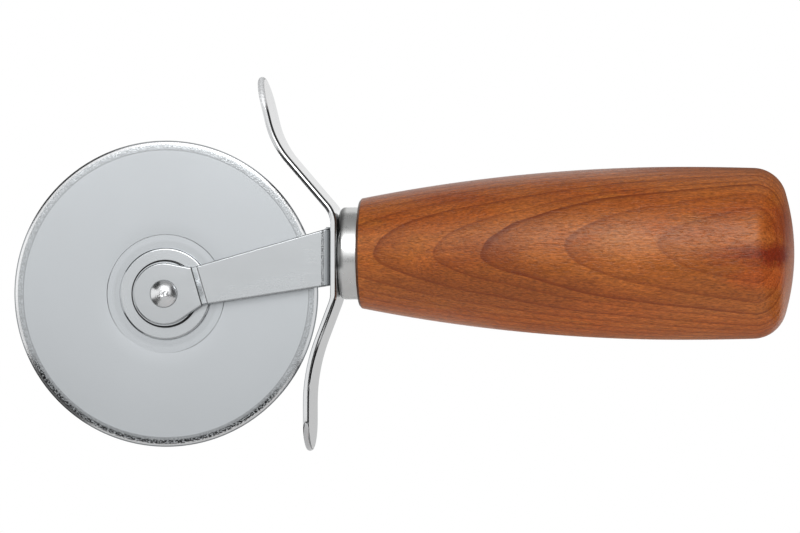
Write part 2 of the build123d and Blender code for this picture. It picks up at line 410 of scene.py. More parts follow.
class Graph:
    """A node tree with short calls for adding and linking nodes."""

    def __init__(self, tree: NodeTree) -> None:
        """Takes the tree to add to."""
        self.tree = tree

    def feed(self, socket: NodeSocket, value: object) -> None:
        """Links a socket to another one, or sets its value.

        Args:
            socket: The input to feed.
            value: An output socket, or a plain value.
        """
        if isinstance(value, NodeSocket):
            self.tree.links.new(value, socket)
        else:
            socket.default_value = value

    def supply(self, node: Node, values: dict) -> None:
        """Feeds several inputs of a node, by name or number."""
        for socket, value in values.items():
            self.feed(node.inputs[socket], value)

    def node(self, kind: str, values: dict | None = None, **settings: object) -> Node:
        """Adds a node.

        Args:
            kind: The node's type.
            values: What feeds its inputs, by name or number.
            settings: Its other properties.

        Returns:
            The new node.
        """
        made = self.tree.nodes.new(kind)
        for name, value in settings.items():
            setattr(made, name, value)
        self.supply(made, values or {})
        return made

    def math(self, operation: str, *values: object) -> NodeSocket:
        """Adds a Math node and gives its output."""
        return self.node("ShaderNodeMath", dict(enumerate(values)), operation=operation).outputs[0]

    def total(self, *values: object) -> NodeSocket:
        """Adds up several values."""
        return reduce(partial(self.math, "ADD"), values)

    def times(self, *values: object) -> NodeSocket:
        """Multiplies several values."""
        return reduce(partial(self.math, "MULTIPLY"), values)

    def from_axis(self, first: object, second: object) -> NodeSocket:
        """Gives the distance from an axis, from the two coordinates across it."""
        return self.math("SQRT", self.total(self.times(first, first), self.times(second, second)))

    def noise(self, vector: object, scale: float, detail: float = 2.0, rough: float = 0.5) -> NodeSocket:
        """Adds a noise texture with so many repeats for each unit and gives its value, from 0 to 1."""
        values = {"Vector": vector, "Scale": scale, "Detail": detail, "Roughness": rough}
        return self.node("ShaderNodeTexNoise", values).outputs[0]

    def ease(
        self, value: object, low: float, high: float, start: float = 0.0, end: float = 1.0
    ) -> NodeSocket:
        """Maps a value smoothly, from start where it is low to end where it is high."""
        values = {0: value, 1: low, 2: high, 3: start, 4: end}
        return self.node("ShaderNodeMapRange", values, interpolation_type="SMOOTHSTEP").outputs[0]

    def step(self, value: object, place: float, blur: float, end: float = 1.0) -> NodeSocket:
        """Adds a soft step from 0 up to an end value, as wide as twice the blur."""
        return self.ease(value, place - blur, place + blur, 0.0, end)

    def band(self, value: object, middle: float, half_width: float, core: float) -> NodeSocket:
        """Adds a mask that is 1 over the core share of a band's half width and fades out to its edge."""
        aside = self.math("ABSOLUTE", self.math("SUBTRACT", value, middle))
        return self.ease(aside, core * half_width, half_width, 1.0, 0.0)

    def spread(self, value: object, low: float, high: float) -> NodeSocket:
        """Maps a value from 0 to 1 onto another range."""
        return self.node("ShaderNodeMapRange", {0: value, 3: low, 4: high}).outputs[0]

    def mix(self, share: object, first: object, second: object) -> NodeSocket:
        """Mixes two values."""
        return self.node("ShaderNodeMix", {0: share, 2: first, 3: second}).outputs[0]

    def blend(self, share: object, first: object, second: object, mode: str = "MIX") -> NodeSocket:
        """Mixes two colours, by the share of the second one that shows."""
        made = self.node("ShaderNodeMix", {0: share, 6: first, 7: second}, data_type="RGBA", blend_type=mode)
        return made.outputs[2]

    def placed(self, vector: object, shift: Vector, turn: Vector, scale: Vector) -> NodeSocket:
        """Adds a Mapping node, which scales coordinates, turns them in radians and then shifts them."""
        values = {"Vector": vector, "Location": shift, "Rotation": turn, "Scale": scale}
        return self.node("ShaderNodeMapping", values).outputs[0]

    def turned(self, vector: object, turn: Vector) -> NodeSocket:
        """Turns coordinates about X, Y and Z."""
        return self.placed(vector, ORIGIN, turn, FULL_SCALE)

    def surface(self, centre: Vector = ORIGIN) -> NodeSocket:
        """Reads Object coordinates in millimetres about a centre in millimetres."""
        source = self.node("ShaderNodeTexCoord").outputs["Object"]
        return self.placed(source, -centre, ORIGIN, FULL_SCALE * PER_MILLIMETRE)

    def axes(self, vector: object) -> tuple[NodeSocket, ...]:
        """Splits coordinates into X, Y and Z."""
        return tuple(self.node("ShaderNodeSeparateXYZ", {0: vector}).outputs)

    def vector(self, x: object, y: object, z: object) -> NodeSocket:
        """Joins X, Y and Z into coordinates."""
        return self.node("ShaderNodeCombineXYZ", {0: x, 1: y, 2: z}).outputs[0]

    def length(self, vector: object) -> NodeSocket:
        """Gives the distance of coordinates from zero."""
        return self.node("ShaderNodeVectorMath", {0: vector}, operation="LENGTH").outputs["Value"]

    def ramp(self, value: object, stops: Stops) -> NodeSocket:
        """Adds a ramp of greys.

        Args:
            value: The value to look up.
            stops: Place and grey level of each stop.

        Returns:
            The ramp's grey as a colour.
        """
        made = self.node("ShaderNodeValToRGB", {0: value})
        elements = made.color_ramp.elements
        for place, level in stops[1:-1]:
            elements.new(place).color = (level, level, level, 1)
        for element, (place, level) in ((elements[0], stops[0]), (elements[len(stops) - 1], stops[-1])):
            element.position = place
            element.color = (level, level, level, 1)
        return made.outputs[0]

    def bump(self, height: object, strength: float, depth: float) -> NodeSocket:
        """Adds a Bump node, with the depth in millimetres of a height of 1."""
        values = {"Height": height, "Strength": strength, "Distance": depth * MILLIMETRE}
        return self.node("ShaderNodeBump", values).outputs[0]


def new_material(name: str) -> tuple[Material, Graph, Node]:
    """Makes an empty material.

    Args:
        name: Name of the material.

    Returns:
        The material, its graph and its Principled shader.
    """
    material = bpy.data.materials.new(name)
    material.use_nodes = True
    return material, Graph(material.node_tree), material.node_tree.nodes["Principled BSDF"]


def bare_material(name: str) -> tuple[Material, Graph, NodeSocket]:
    """Makes a material without a shader.

    Args:
        name: Name of the material.

    Returns:
        The material, its graph and the socket that takes its shader.
    """
    material, graph, shader = new_material(name)
    graph.tree.nodes.remove(shader)
    return material, graph, graph.tree.nodes["Material Output"].inputs["Surface"]


def shaded(tint: Colour, share: float) -> Colour:
    """Gives a darker or lighter share of a colour."""
    return (*(share * part for part in tint[:3]), 1.0)


class NodeGroups:
    """Effects that several finishes share, each built once as a shader node group."""

    ring_drift: float = 0.6
    line_stretch: float = 0.12
    patch_range: Range = (0.3, 0.7)
    ring_core: float = 0.5

    def __init__(self) -> None:
        """Builds every group."""
        marks = {"Vector": None, "Pitch": 0.2}
        patches = {"Vector": None, "Patch Size": 12.0}
        ring = {"Vector": None, "Radius": 10.0, "Half Width": 0.1}
        self.turning_marks = self.build("turning_marks", marks, "Height", self.turned_rings)
        self.brushed_lines = self.build("brushed_lines", marks, "Height", self.straight_lines)
        self.handling = self.build("handling", patches, "Mask", self.dull_patches)
        self.ring_mask = self.build("ring_mask", ring, "Mask", self.narrow_ring)

    @staticmethod
    def build(
        name: str, inputs: dict[str, float | None], output: str, effect: Callable[[Graph, Node], NodeSocket]
    ) -> NodeTree:
        """Builds a group.

        Args:
            name: Name of the group.
            inputs: Name and first value of each input, None for coordinates.
            output: Name of the output.
            effect: Adds the effect's nodes behind the group's input node.

        Returns:
            The group.
        """
        tree = bpy.data.node_groups.new(name, "ShaderNodeTree")
        for label, value in inputs.items():
            kind = "NodeSocketVector" if value is None else "NodeSocketFloat"
            socket = tree.interface.new_socket(label, in_out="INPUT", socket_type=kind)
            if value is not None:
                socket.default_value = value
        tree.interface.new_socket(output, in_out="OUTPUT", socket_type="NodeSocketFloat")
        graph = Graph(tree)
        source = graph.node("NodeGroupInput")
        graph.node("NodeGroupOutput", {output: effect(graph, source)})
        return tree

    def turned_rings(self, graph: Graph, source: Node) -> NodeSocket:
        """Adds fine rings about the Z axis of the coordinates, as a lathe or a grinding wheel leaves them.

        Args:
            graph: The group's graph.
            source: The group's input node.

        Returns:
            Height of the rings.
        """
        x, y, z = graph.axes(source.outputs["Vector"])
        outward = graph.total(graph.from_axis(x, y), z)
        across = graph.math("DIVIDE", outward, source.outputs["Pitch"])
        round_it = graph.times(graph.math("ARCTAN2", y, x), self.ring_drift)
        return graph.noise(graph.vector(across, round_it, 0.0), 1.0, detail=3.0, rough=0.6)

    def straight_lines(self, graph: Graph, source: Node) -> NodeSocket:
        """Adds fine straight lines along the X axis of the coordinates, as a belt leaves them.

        Args:
            graph: The group's graph.
            source: The group's input node.

        Returns:
            Height of the lines.
        """
        x, y, z = graph.axes(source.outputs["Vector"])
        across = graph.math("DIVIDE", y, source.outputs["Pitch"])
        deep = graph.math("DIVIDE", z, source.outputs["Pitch"])
        along = graph.times(x, self.line_stretch)
        return graph.noise(graph.vector(along, across, deep), 1.0, detail=3.0, rough=0.6)

    def dull_patches(self, graph: Graph, source: Node) -> NodeSocket:
        """Adds soft patches where a metal surface is a little duller.

        Args:
            graph: The group's graph.
            source: The group's input node.

        Returns:
            Mask of the patches.
        """
        share = graph.math("DIVIDE", 1.0, source.outputs["Patch Size"])
        values = {"Vector": source.outputs["Vector"], "Scale": share}
        scaled = graph.node("ShaderNodeVectorMath", values, operation="SCALE").outputs[0]
        return graph.ease(graph.noise(scaled, 1.0, detail=3.0, rough=0.55), *self.patch_range)

    def narrow_ring(self, graph: Graph, source: Node) -> NodeSocket:
        """Adds a narrow ring about the Y axis of the coordinates.

        Args:
            graph: The group's graph.
            source: The group's input node.

        Returns:
            Mask of the ring.
        """
        x, _, z = graph.axes(source.outputs["Vector"])
        aside = graph.math("SUBTRACT", graph.from_axis(x, z), source.outputs["Radius"])
        share = graph.math("DIVIDE", graph.math("ABSOLUTE", aside), source.outputs["Half Width"])
        return graph.ease(share, self.ring_core, 1.0, 1.0, 0.0)

    @staticmethod
    def use(graph: Graph, tree: NodeTree, **values: object) -> NodeSocket:
        """Places a group in a material, fed by its inputs' names with _ for a space, and gives its output."""
        inputs = {label.replace("_", " "): value for label, value in values.items()}
        return graph.node("ShaderNodeGroup", inputs, node_tree=tree).outputs[0]

    def ring(self, graph: Graph, place: NodeSocket, radius: float, half_width: float) -> NodeSocket:
        """Places the mask of a narrow ring in a material."""
        return self.use(graph, self.ring_mask, Vector=place, Radius=radius, Half_Width=half_width)


class MarkRun(Enum):
    """How the tool marks of a steel finish run."""

    ROUND_AXLE = "rings about the axle"
    ROUND_HANDLE = "rings about the handle's axis"
    ALONG_ARM = "lines along the arm"


@dataclass(frozen=True)
class Ring:
    """A ring about the axle, such as a polished edge, a painted shadow in a gap or round a rivet's head, or the
    grained rim of a strip's end.
    """

    radius: float
    half_width: float
    shade: float
    roughness: float
    on_rim: bool = False
    grain: float = 0.0
    speck_range: Range = (0.4, 0.6)
    metal: float = 1.0


@dataclass(frozen=True)
class PaintedLightBand:
    """A narrow line or band across the fork's arm or round the ferrule, lighter or darker than the steel:
    painted light and shade at the joggle, the bend into the web and the ferrule's front, and a dotted dark
    line.
    """

    distance: float
    half_width: float
    shade: float
    tilt: float = 16.3
    core: float = 0.4
    grain: float = 0.0
    speck_range: Range = (0.42, 0.56)
    # Height above which alone the band shows, for painted reflection on the upper part only.
    above: float | None = None
    end_blur: float = 0.6


@dataclass(frozen=True)
class SteelFinish:
    """A steel surface with tool marks and slightly uneven gloss."""

    name: str
    tint: Colour
    roughness: float
    gloss_spread: float
    marks: MarkRun
    mark_pitch: float
    mark_depth: float
    mark_strength: float = 0.6
    mark_shade: float = 0.93
    patch_size: float = 14.0
    rings: tuple[Ring, ...] = ()
    painted_light_bands: tuple[PaintedLightBand, ...] = ()

    def ringed(
        self, graph: Graph, groups: NodeGroups, centre: Vector, colour: object, shine: object
    ) -> tuple[object, object, object]:
        """Adds the finish's rings.

        Args:
            graph: The material's graph.
            groups: The shared effects.
            centre: A point of the axle, in millimetres.
            colour: Colour without the rings.
            shine: Roughness without them.

        Returns:
            Colour and roughness with the rings, and how metallic the surface is.
        """
        place = graph.surface(centre)
        metal = 1.0
        for ring in self.rings:
            mask = groups.ring(graph, place, ring.radius, ring.half_width)
            tone = shaded(self.tint, ring.shade)
            if ring.on_rim:
                rim = graph.node("ShaderNodeAttribute", attribute_name=RIM_LAYER).outputs["Fac"]
                mask = graph.times(mask, rim)
            if ring.grain:
                specks = graph.ease(graph.noise(place, 1 / ring.grain, rough=0.6), *ring.speck_range)
                tone = graph.blend(specks, self.tint, tone)
            colour = graph.blend(mask, colour, tone)
            shine = graph.mix(mask, shine, ring.roughness)
            if ring.metal < 1:
                metal = graph.mix(mask, metal, ring.metal)
        return colour, shine, metal

    def pressed(self, graph: Graph, centre: Vector, colour: object) -> object:
        """Adds the finish's bands of painted light and shade.

        Args:
            graph: The material's graph.
            centre: A point of the axle, in millimetres.
            colour: Colour without the lines.

        Returns:
            Colour with the lines.
        """
        for line in self.painted_light_bands:
            place = graph.turned(graph.surface(centre), Y_AXIS * math.radians(line.tilt))
            mask = graph.band(graph.axes(place)[0], line.distance, line.half_width, line.core)
            if line.grain:
                specks = graph.ease(graph.noise(place, 1 / line.grain, rough=0.6), *line.speck_range)
                mask = graph.times(mask, specks)
            if line.above is not None:
                height = graph.axes(graph.surface())[2]
                mask = graph.times(mask, graph.step(height, line.above, line.end_blur))
            colour = graph.blend(mask, colour, shaded(self.tint, line.shade))
        return colour

    def marked_height(self, graph: Graph, groups: NodeGroups, centre: Vector) -> NodeSocket:
        """Adds the tool marks.

        Args:
            graph: The material's graph.
            groups: The shared effects.
            centre: A point of the axle, in millimetres.

        Returns:
            Height of the marks.
        """
        if self.marks is MarkRun.ALONG_ARM:
            return groups.use(graph, groups.brushed_lines, Vector=graph.surface(), Pitch=self.mark_pitch)
        if self.marks is MarkRun.ROUND_AXLE:
            turned = graph.turned(graph.surface(centre), X_AXIS * QUARTER_TURN)
        else:
            turned = graph.turned(graph.surface(), Y_AXIS * QUARTER_TURN)
        return groups.use(graph, groups.turning_marks, Vector=turned, Pitch=self.mark_pitch)

    def material(self, groups: NodeGroups, centre: Vector) -> Material:
        """Builds the material.

        Args:
            groups: The shared effects.
            centre: A point of the axle, in millimetres.

        Returns:
            The material.
        """
        material, graph, shader = new_material(self.name)
        height = self.marked_height(graph, groups, centre)
        dull = groups.use(graph, groups.handling, Vector=graph.surface(), Patch_Size=self.patch_size)
        uneven = graph.times(graph.total(dull, height), self.gloss_spread)
        shine = graph.total(self.roughness - self.gloss_spread, uneven)
        colour = graph.blend(height, shaded(self.tint, self.mark_shade), self.tint)
        colour, shine, metal = self.ringed(graph, groups, centre, colour, shine)
        colour = self.pressed(graph, centre, colour)
        relief = graph.bump(height, self.mark_strength, self.mark_depth)
        graph.supply(shader, {"Base Color": colour, "Roughness": shine, "Normal": relief, "Metallic": metal})
        return material


@dataclass(frozen=True)
class BladeFinish:
    """Fine satin steel with a speckled ground bevel and a honed edge."""

    name: str = "blade_satin_ground"
    tint: Colour = (0.506, 0.53, 0.549, 1.0)
    ground_tint: Colour = (0.38, 0.395, 0.405, 1.0)
    # Near-black of the grinding specks and of the painted dark reflection on the lower bevel.
    pit_and_reflection_tint: Colour = (0.02, 0.021, 0.022, 1.0)
    honed_tint: Colour = (0.86, 0.87, 0.88, 1.0)
    roughness: float = 0.26
    gloss_spread: float = 0.02
    patch_size: float = 22.0
    ground_roughness: float = 0.20
    ground_blur: float = 0.05
    honed_roughness: float = 0.16
    honed_blur: float = 0.1
    honed_smoothing: float = 0.35
    mark_pitch: float = 0.16
    mark_depth: float = 0.0012
    speckle_size: float = 0.30
    speckle_depth: float = 0.03
    speckle_range: Range = (0.35, 0.65)
    speckle_mean: float = 0.5
    pit_width: float = 0.28
    pit_length: float = 0.52
    pit_range: Range = (0.47, 0.485)
    pit_inset: float = 1.12
    pit_half_band: float = 0.68
    pit_core: float = 0.4
    # Where, on the lower side, the specks and the painted dark reflection start and are full.
    pit_start: float = -0.45
    pit_full: float = -0.65
    pit_lean: float = 0.12
    # Strength and place of a grey band of painted dark reflection inside the specks.
    painted_reflection: float = 0.24
    painted_reflection_width: float = 1.12
    painted_reflection_blur: float = 0.05
    painted_reflection_end: Range = (0.4, 0.1)
    # Painted shade line along the bevel's inner edge.
    painted_crease_shade: float = 0.72
    painted_crease_inset: float = 0.08
    painted_crease_half_width: float = 0.16
    # Painted shade line round the cutting edge.
    painted_edge_shade: float = 0.6
    painted_edge_half_width: float = 0.36
    # Painted shadow round the hub flange on the blade's face.
    painted_hub_shadow: float = 0.93
    painted_hub_shadow_radius: float = 10.9
    painted_hub_shadow_half_width: float = 1.6

    def low_pits_and_painted_reflection(self, graph: Graph, place: NodeSocket, middle: float) -> NodeSocket:
        """Adds dark grinding specks on the bevel and a grey band of painted dark reflection inside them, both
        only on the lower side, which makes the specks partly painted dark reflection too.

        Args:
            graph: The material's graph.
            place: Coordinates about the axle, in millimetres.
            middle: Radius of the middle of the specks.

        Returns:
            The mask of the specks and of the painted dark reflection, from 0 to 1.
        """
        x, _, z = graph.axes(place)
        radius = graph.from_axis(x, z)
        along = graph.times(graph.math("ARCTAN2", z, x), middle / self.pit_length)
        across = graph.math("DIVIDE", radius, self.pit_width)
        grain = graph.noise(graph.vector(across, along, 0.0), 1.0, rough=0.6)
        band = graph.band(radius, middle, self.pit_half_band, self.pit_core)
        found = graph.times(graph.ease(grain, *self.pit_range), band)
        # Grey band of painted dark reflection inside the specks.
        painted_reflection_start = graph.step(radius, middle - self.painted_reflection_width, self.painted_reflection_blur, self.painted_reflection)
        painted_reflection_end = graph.ease(radius, *(middle - inset for inset in self.painted_reflection_end), 1.0, 0.0)
        # Only the lower side of the bevel gets the specks and the band: painted dark reflection.
        lean = graph.math("DIVIDE", graph.math("MULTIPLY_ADD", x, self.pit_lean, z), radius)
        lower_side = graph.ease(lean, self.pit_start, self.pit_full)
        return graph.times(graph.math("MAXIMUM", found, graph.times(painted_reflection_start, painted_reflection_end)), lower_side)

    def material(self, groups: NodeGroups, centre: Vector, wheel: "WheelSizes") -> Material:
        """Builds the material.

        Args:
            groups: The shared effects.
            centre: A point of the axle, in millimetres.
            wheel: Sizes of the wheel.

        Returns:
            The material.
        """
        material, graph, shader = new_material(self.name)
        place = graph.surface(centre)
        x, _, z = graph.axes(place)
        radius = graph.from_axis(x, z)
        ground = graph.step(radius, wheel.grind_radius, self.ground_blur)
        honed = graph.step(radius, wheel.hone_radius, self.honed_blur)
        turned = graph.turned(place, X_AXIS * QUARTER_TURN)
        rings = groups.use(graph, groups.turning_marks, Vector=turned, Pitch=self.mark_pitch)
        speckle = graph.noise(place, 1 / self.speckle_size, detail=2.5, rough=0.6)
        low_pits_and_painted_reflection = self.low_pits_and_painted_reflection(graph, place, wheel.blade_radius - self.pit_inset)
        dull = groups.use(graph, groups.handling, Vector=place, Patch_Size=self.patch_size)

        ground_colour = graph.blend(graph.ease(speckle, *self.speckle_range), self.ground_tint, self.tint)
        colour = graph.blend(ground, self.tint, ground_colour)
        colour = graph.blend(honed, colour, self.honed_tint)
        # Grinding specks and painted dark reflection on the lower bevel.
        colour = graph.blend(low_pits_and_painted_reflection, colour, self.pit_and_reflection_tint)
        # Rings of painted shade: a shadow round the hub flange, a line along the bevel's inner edge and a line
        # round the cutting edge.
        for ring_radius, half_width, shade in (
            (self.painted_hub_shadow_radius, self.painted_hub_shadow_half_width, self.painted_hub_shadow),
            (wheel.grind_radius + self.painted_crease_inset, self.painted_crease_half_width, self.painted_crease_shade),
            (wheel.blade_radius, self.painted_edge_half_width, self.painted_edge_shade),
        ):
            mask = groups.ring(graph, place, ring_radius, half_width)
            colour = graph.blend(mask, colour, shaded(self.tint, shade))

        glossiest = self.roughness - self.gloss_spread / 2
        flat_shine = graph.spread(dull, glossiest, glossiest + self.gloss_spread)
        ground_shine = graph.spread(honed, self.ground_roughness, self.honed_roughness)
        shine = graph.mix(ground, flat_shine, ground_shine)

        share = graph.math("SUBTRACT", ground, graph.times(honed, self.honed_smoothing))
        grit = graph.times(share, graph.math("SUBTRACT", speckle, self.speckle_mean), self.speckle_depth)
        height = graph.total(graph.times(rings, self.mark_depth), grit)
        relief = graph.bump(height, strength=1.0, depth=1.0)
        graph.supply(shader, {"Base Color": colour, "Roughness": shine, "Normal": relief, "Metallic": 1.0})
        return material


@dataclass(frozen=True)
class Grain:
    """A noise that is drawn out along the wood's grain, with its repeats for each millimetre."""

    along: float
    across: float
    detail: float = 2.0
    rough: float = 0.5

    def read(self, graph: Graph, place: NodeSocket) -> NodeSocket:
        """Adds the noise, from 0 to 1."""
        scale = Vector((self.along, self.across, self.across))
        return graph.noise(graph.placed(place, ORIGIN, ORIGIN, scale), 1.0, self.detail, self.rough)


@dataclass(frozen=True)
class StainOrPaintedLight:
    """A patch of tint drawn out along the grain, with a ragged edge; some patches are the wood's own tint,
    others painted light or shade, as the list says.
    """

    place: Place
    reach: Place
    tinge: Colour
    strength: float
    ragged: Grain = Grain(0.09, 0.9, 3.0, 0.6)
    raggedness: float = 0.9
    edge: Range = (1.55, 0.7)

    def mask(self, graph: Graph, place: NodeSocket) -> NodeSocket:
        """Adds the patch that it covers.

        Args:
            graph: The material's graph.
            place: Coordinates in millimetres.

        Returns:
            The patch's mask, from 0 to its strength.
        """
        inverse = Vector(1 / reach for reach in self.reach)
        shift = Vector(-spot * share for spot, share in zip(self.place, inverse))
        distance = graph.length(graph.placed(place, shift, ORIGIN, inverse))
        torn = graph.math("MULTIPLY_ADD", self.ragged.read(graph, place), self.raggedness, distance)
        return graph.ease(torn, *self.edge, 0.0, self.strength)


@dataclass(frozen=True)
class FruitWood:
    """Oiled orange-brown fruit wood, flat-sawn, with arched growth lines and a dark heart streak."""

    name: str = "oiled_fruit_wood"
    pale: Colour = (0.41, 0.117, 0.021, 1.0)
    warm: Colour = (0.345, 0.075, 0.0088, 1.0)
    ochre: Colour = (0.37, 0.102, 0.013, 1.0)
    line: Colour = (0.13, 0.016, 0.001, 1.0)
    # Near-black of the painted shadow at the wood's front rim, next to the ferrule.
    rim: Colour = (0.05, 0.018, 0.008, 1.0)
    gloss_tint: Colour = (1.0, 0.92, 0.78, 1.0)
    patch_grain: Grain = Grain(0.03, 0.10)
    patch_range: Range = (0.35, 0.65)
    tinge_grain: Grain = Grain(0.065, 0.208)
    tinge_range: Range = (0.5, 0.72)
    layer_pitch: float = 1.86
    layer_depths: tuple[float, ...] = (13.40, 15.38, 16.48, 18.61, 20.77)
    flat_line: float = 0.085
    steep_line: float = 0.34
    line_edge: Range = (0.15, 1.45)
    line_fade: Stops = (
        (0.0, 0.6), (0.2, 0.4), (0.55, 0.12), (0.85, 0.0), (0.975, 0.0), (1.0, 0.5)
    )
    line_strength: float = 0.76
    layer_strengths: tuple[float, ...] = (0.8, 0.92, 0.8, 1.2, 0.76, 0.64, 0.75, 0.85)
    flank_strength: float = 0.82
    flank_range: Range = (0.3, 0.75)
    break_grain: Grain = Grain(0.05, 0.25, 2.0, 0.6)
    break_range: Range = (0.25, 0.6)
    break_strength: float = 0.65
    tilt: float = 0.04
    sweep: float = 0.001
    layer_curve: float = 160.0
    lean: float = 0.06
    nose_height: float = 1.1
    nose_half_width: float = 3.6
    nose_depth: float = 0.05
    wave: float = 0.9
    wave_grain: Grain = Grain(0.022, 0.06)
    ripple: float = 0.04
    ripple_grain: Grain = Grain(0.08, 0.28)
    sway: float = 3.0
    sway_grain: Grain = Grain(0.035, 0.08)
    fibre_grain: Grain = Grain(0.10, 1.5, 4.0, 0.65)
    fibre_tones: Stops = ((0.25, 0.72), (0.5, 0.98), (0.75, 1.16))
    fleck_grain: Grain = Grain(0.42, 2.6)
    fleck_range: Range = (0.53, 0.66)
    fleck_strength: float = 0.25
    fleck_depth: float = -0.6
    grit_grain: Grain = Grain(0.9, 4.4, 2.0, 0.6)
    grit_tones: Stops = ((0.3, 0.58), (0.5, 0.98), (0.7, 1.42))
    grit_height: float = 0.6
    pore_strength: float = 0.45
    pore_depth: float = 0.12
    # Where the painted shadow at the front rim fades out, and how dark it is.
    painted_shadow_from_front: float = 0.45
    rim_end: float = 0.675
    painted_shadow_strength: float = 0.85
    roughness: float = 0.31
    gloss_spread: float = 0.10
    specular: float = 0.42
    # Patches of tint: some the wood's own, some painted light and shade, as marked below.
    stains_and_painted_light: tuple[StainOrPaintedLight, ...] = (
        # The wood's tone in part and painted shade in part: browner along the lower flank.
        StainOrPaintedLight((-16.0, -14.0, -7.5), (46.0, 10.0, 8.0), (0.224, 0.0535, 0.0085, 1.0), 0.9),
        StainOrPaintedLight((32.0, -16.0, -7.5), (21.0, 10.0, 8.5), (0.25, 0.064, 0.010, 1.0), 0.75),
        # Painted highlight: a pale patch in the middle of the near side.
        StainOrPaintedLight((12.0, -18.0, 1.8), (9.5, 9.0, 5.5), (0.47, 0.158, 0.042, 1.0), 0.6),
        # Painted shade: darker in the middle on the left, where the highlight fades.
        StainOrPaintedLight((-20.0, -15.0, 0.5), (13.0, 9.0, 5.5), (0.27, 0.060, 0.009, 1.0), 0.9),
        # The wood's tone in part and painted shade in part: darker low down on the right.
        StainOrPaintedLight((19.0, -14.0, -11.2), (9.0, 9.0, 5.0), (0.29, 0.066, 0.010, 1.0), 0.45),
        # Painted shade: darker a little above the middle on the left.
        StainOrPaintedLight((-12.0, -14.0, 5.5), (16.0, 8.0, 3.5), (0.31, 0.075, 0.011, 1.0), 0.5),
        # Darker along the upper flank.
        StainOrPaintedLight((-8.0, -11.0, 11.7), (16.0, 6.0, 2.6), (0.27, 0.055, 0.008, 1.0), 0.5),
        StainOrPaintedLight((-27.0, -9.0, 12.2), (15.0, 6.0, 3.0), (0.27, 0.042, 0.007, 1.0), 0.6),
        StainOrPaintedLight((36.0, -13.0, 9.5), (13.0, 6.0, 2.4), (0.32, 0.050, 0.011, 1.0), 0.5),
        # The wood's own reddish patch, dark red patch and heart streak.
        StainOrPaintedLight((44.0, -17.0, -5.5), (12.0, 8.0, 4.0), (0.40, 0.065, 0.010, 1.0), 0.6),
        StainOrPaintedLight((47.0, -13.0, 6.5), (7.0, 8.0, 6.0), (0.21, 0.028, 0.006, 1.0), 0.55),
        StainOrPaintedLight((50.0, -17.0, -0.4), (28.0, 9.0, 3.7), (0.165, 0.014, 0.004, 1.0), 0.95),
    )

    def layer_depth(self, graph: Graph, place: NodeSocket) -> NodeSocket:
        """Adds the depth through the growth layers, in millimetres.

        Args:
            graph: The material's graph.
            place: Coordinates in millimetres.

        Returns:
            The depth, which is the same all over one growth layer.
        """
        x, y, z = graph.axes(place)
        slope = graph.times(x, graph.math("MULTIPLY_ADD", x, self.sweep, self.tilt))
        curve = graph.math("DIVIDE", graph.times(z, z), 2 * self.layer_curve)
        aside = graph.math("DIVIDE", graph.math("SUBTRACT", z, self.nose_height), self.nose_half_width)
        nose = graph.math("EXPONENT", graph.times(aside, aside, -1.0))
        blunt = graph.times(nose, -self.nose_depth)
        lean = graph.times(z, self.lean)
        wave = graph.spread(self.wave_grain.read(graph, place), -self.wave, self.wave)
        ripple = graph.spread(self.ripple_grain.read(graph, place), -self.ripple, self.ripple)
        return graph.total(graph.times(y, -1.0), slope, curve, blunt, lean, wave, ripple)

    def layer_share(self, graph: Graph, depth: NodeSocket) -> tuple[NodeSocket, NodeSocket]:
        """Adds the place within one growth layer and the layer's number.

        Args:
            graph: The material's graph.
            depth: Depth through the layers, in millimetres.

        Returns:
            The share from 0 to 1 within the layer, and the layer's number.
        """
        first = self.layer_depths[0] - self.layer_pitch
        last = self.layer_depths[-1] + self.layer_pitch
        count = len(self.layer_depths) + 1
        local = graph.node("ShaderNodeMapRange", {0: depth, 1: first, 2: last}, clamp=False).outputs[0]
        curve = graph.node("ShaderNodeFloatCurve", {"Value": local})
        curve.mapping.use_clip = False
        curve.mapping.extend = "EXTRAPOLATED"
        points = curve.mapping.curves[0].points
        for number, layer in enumerate(self.layer_depths, start=1):
            points.new((layer - first) / (last - first), number / count)
        for point in points:
            point.handle_type = "VECTOR"
        curve.mapping.update()
        phase = graph.times(curve.outputs[0], count)
        return graph.math("FRACT", phase), graph.math("FLOOR", phase)

    def growth_lines(self, graph: Graph, place: NodeSocket) -> NodeSocket:
        """Adds the growth lines: a thin dark line that fades out into its layer.

        Args:
            graph: The material's graph.
            place: Coordinates in millimetres.

        Returns:
            Darkness of the lines, from 0 to 1.
        """
        share, number = self.layer_share(graph, self.layer_depth(graph, place))
        _, y, z = graph.axes(place)
        steep = graph.math("DIVIDE", graph.math("ABSOLUTE", z), graph.from_axis(y, z))
        width = graph.spread(steep, self.flat_line, self.steep_line)
        thin = graph.ease(graph.math("DIVIDE", share, width), *self.line_edge, 1.0, 0.0)
        fade = graph.ramp(share, self.line_fade)
        last = len(self.layer_strengths) - 1
        levels = tuple((layer / last, level) for layer, level in enumerate(self.layer_strengths))
        own = graph.ramp(graph.math("DIVIDE", number, last), levels)
        breaks = self.break_grain.read(graph, place)
        whole = graph.ease(breaks, *self.break_range, self.break_strength, 1.0)
        flank = graph.ease(steep, *self.flank_range, 1.0, self.flank_strength)
        return graph.times(graph.math("MAXIMUM", thin, fade), own, whole, flank)

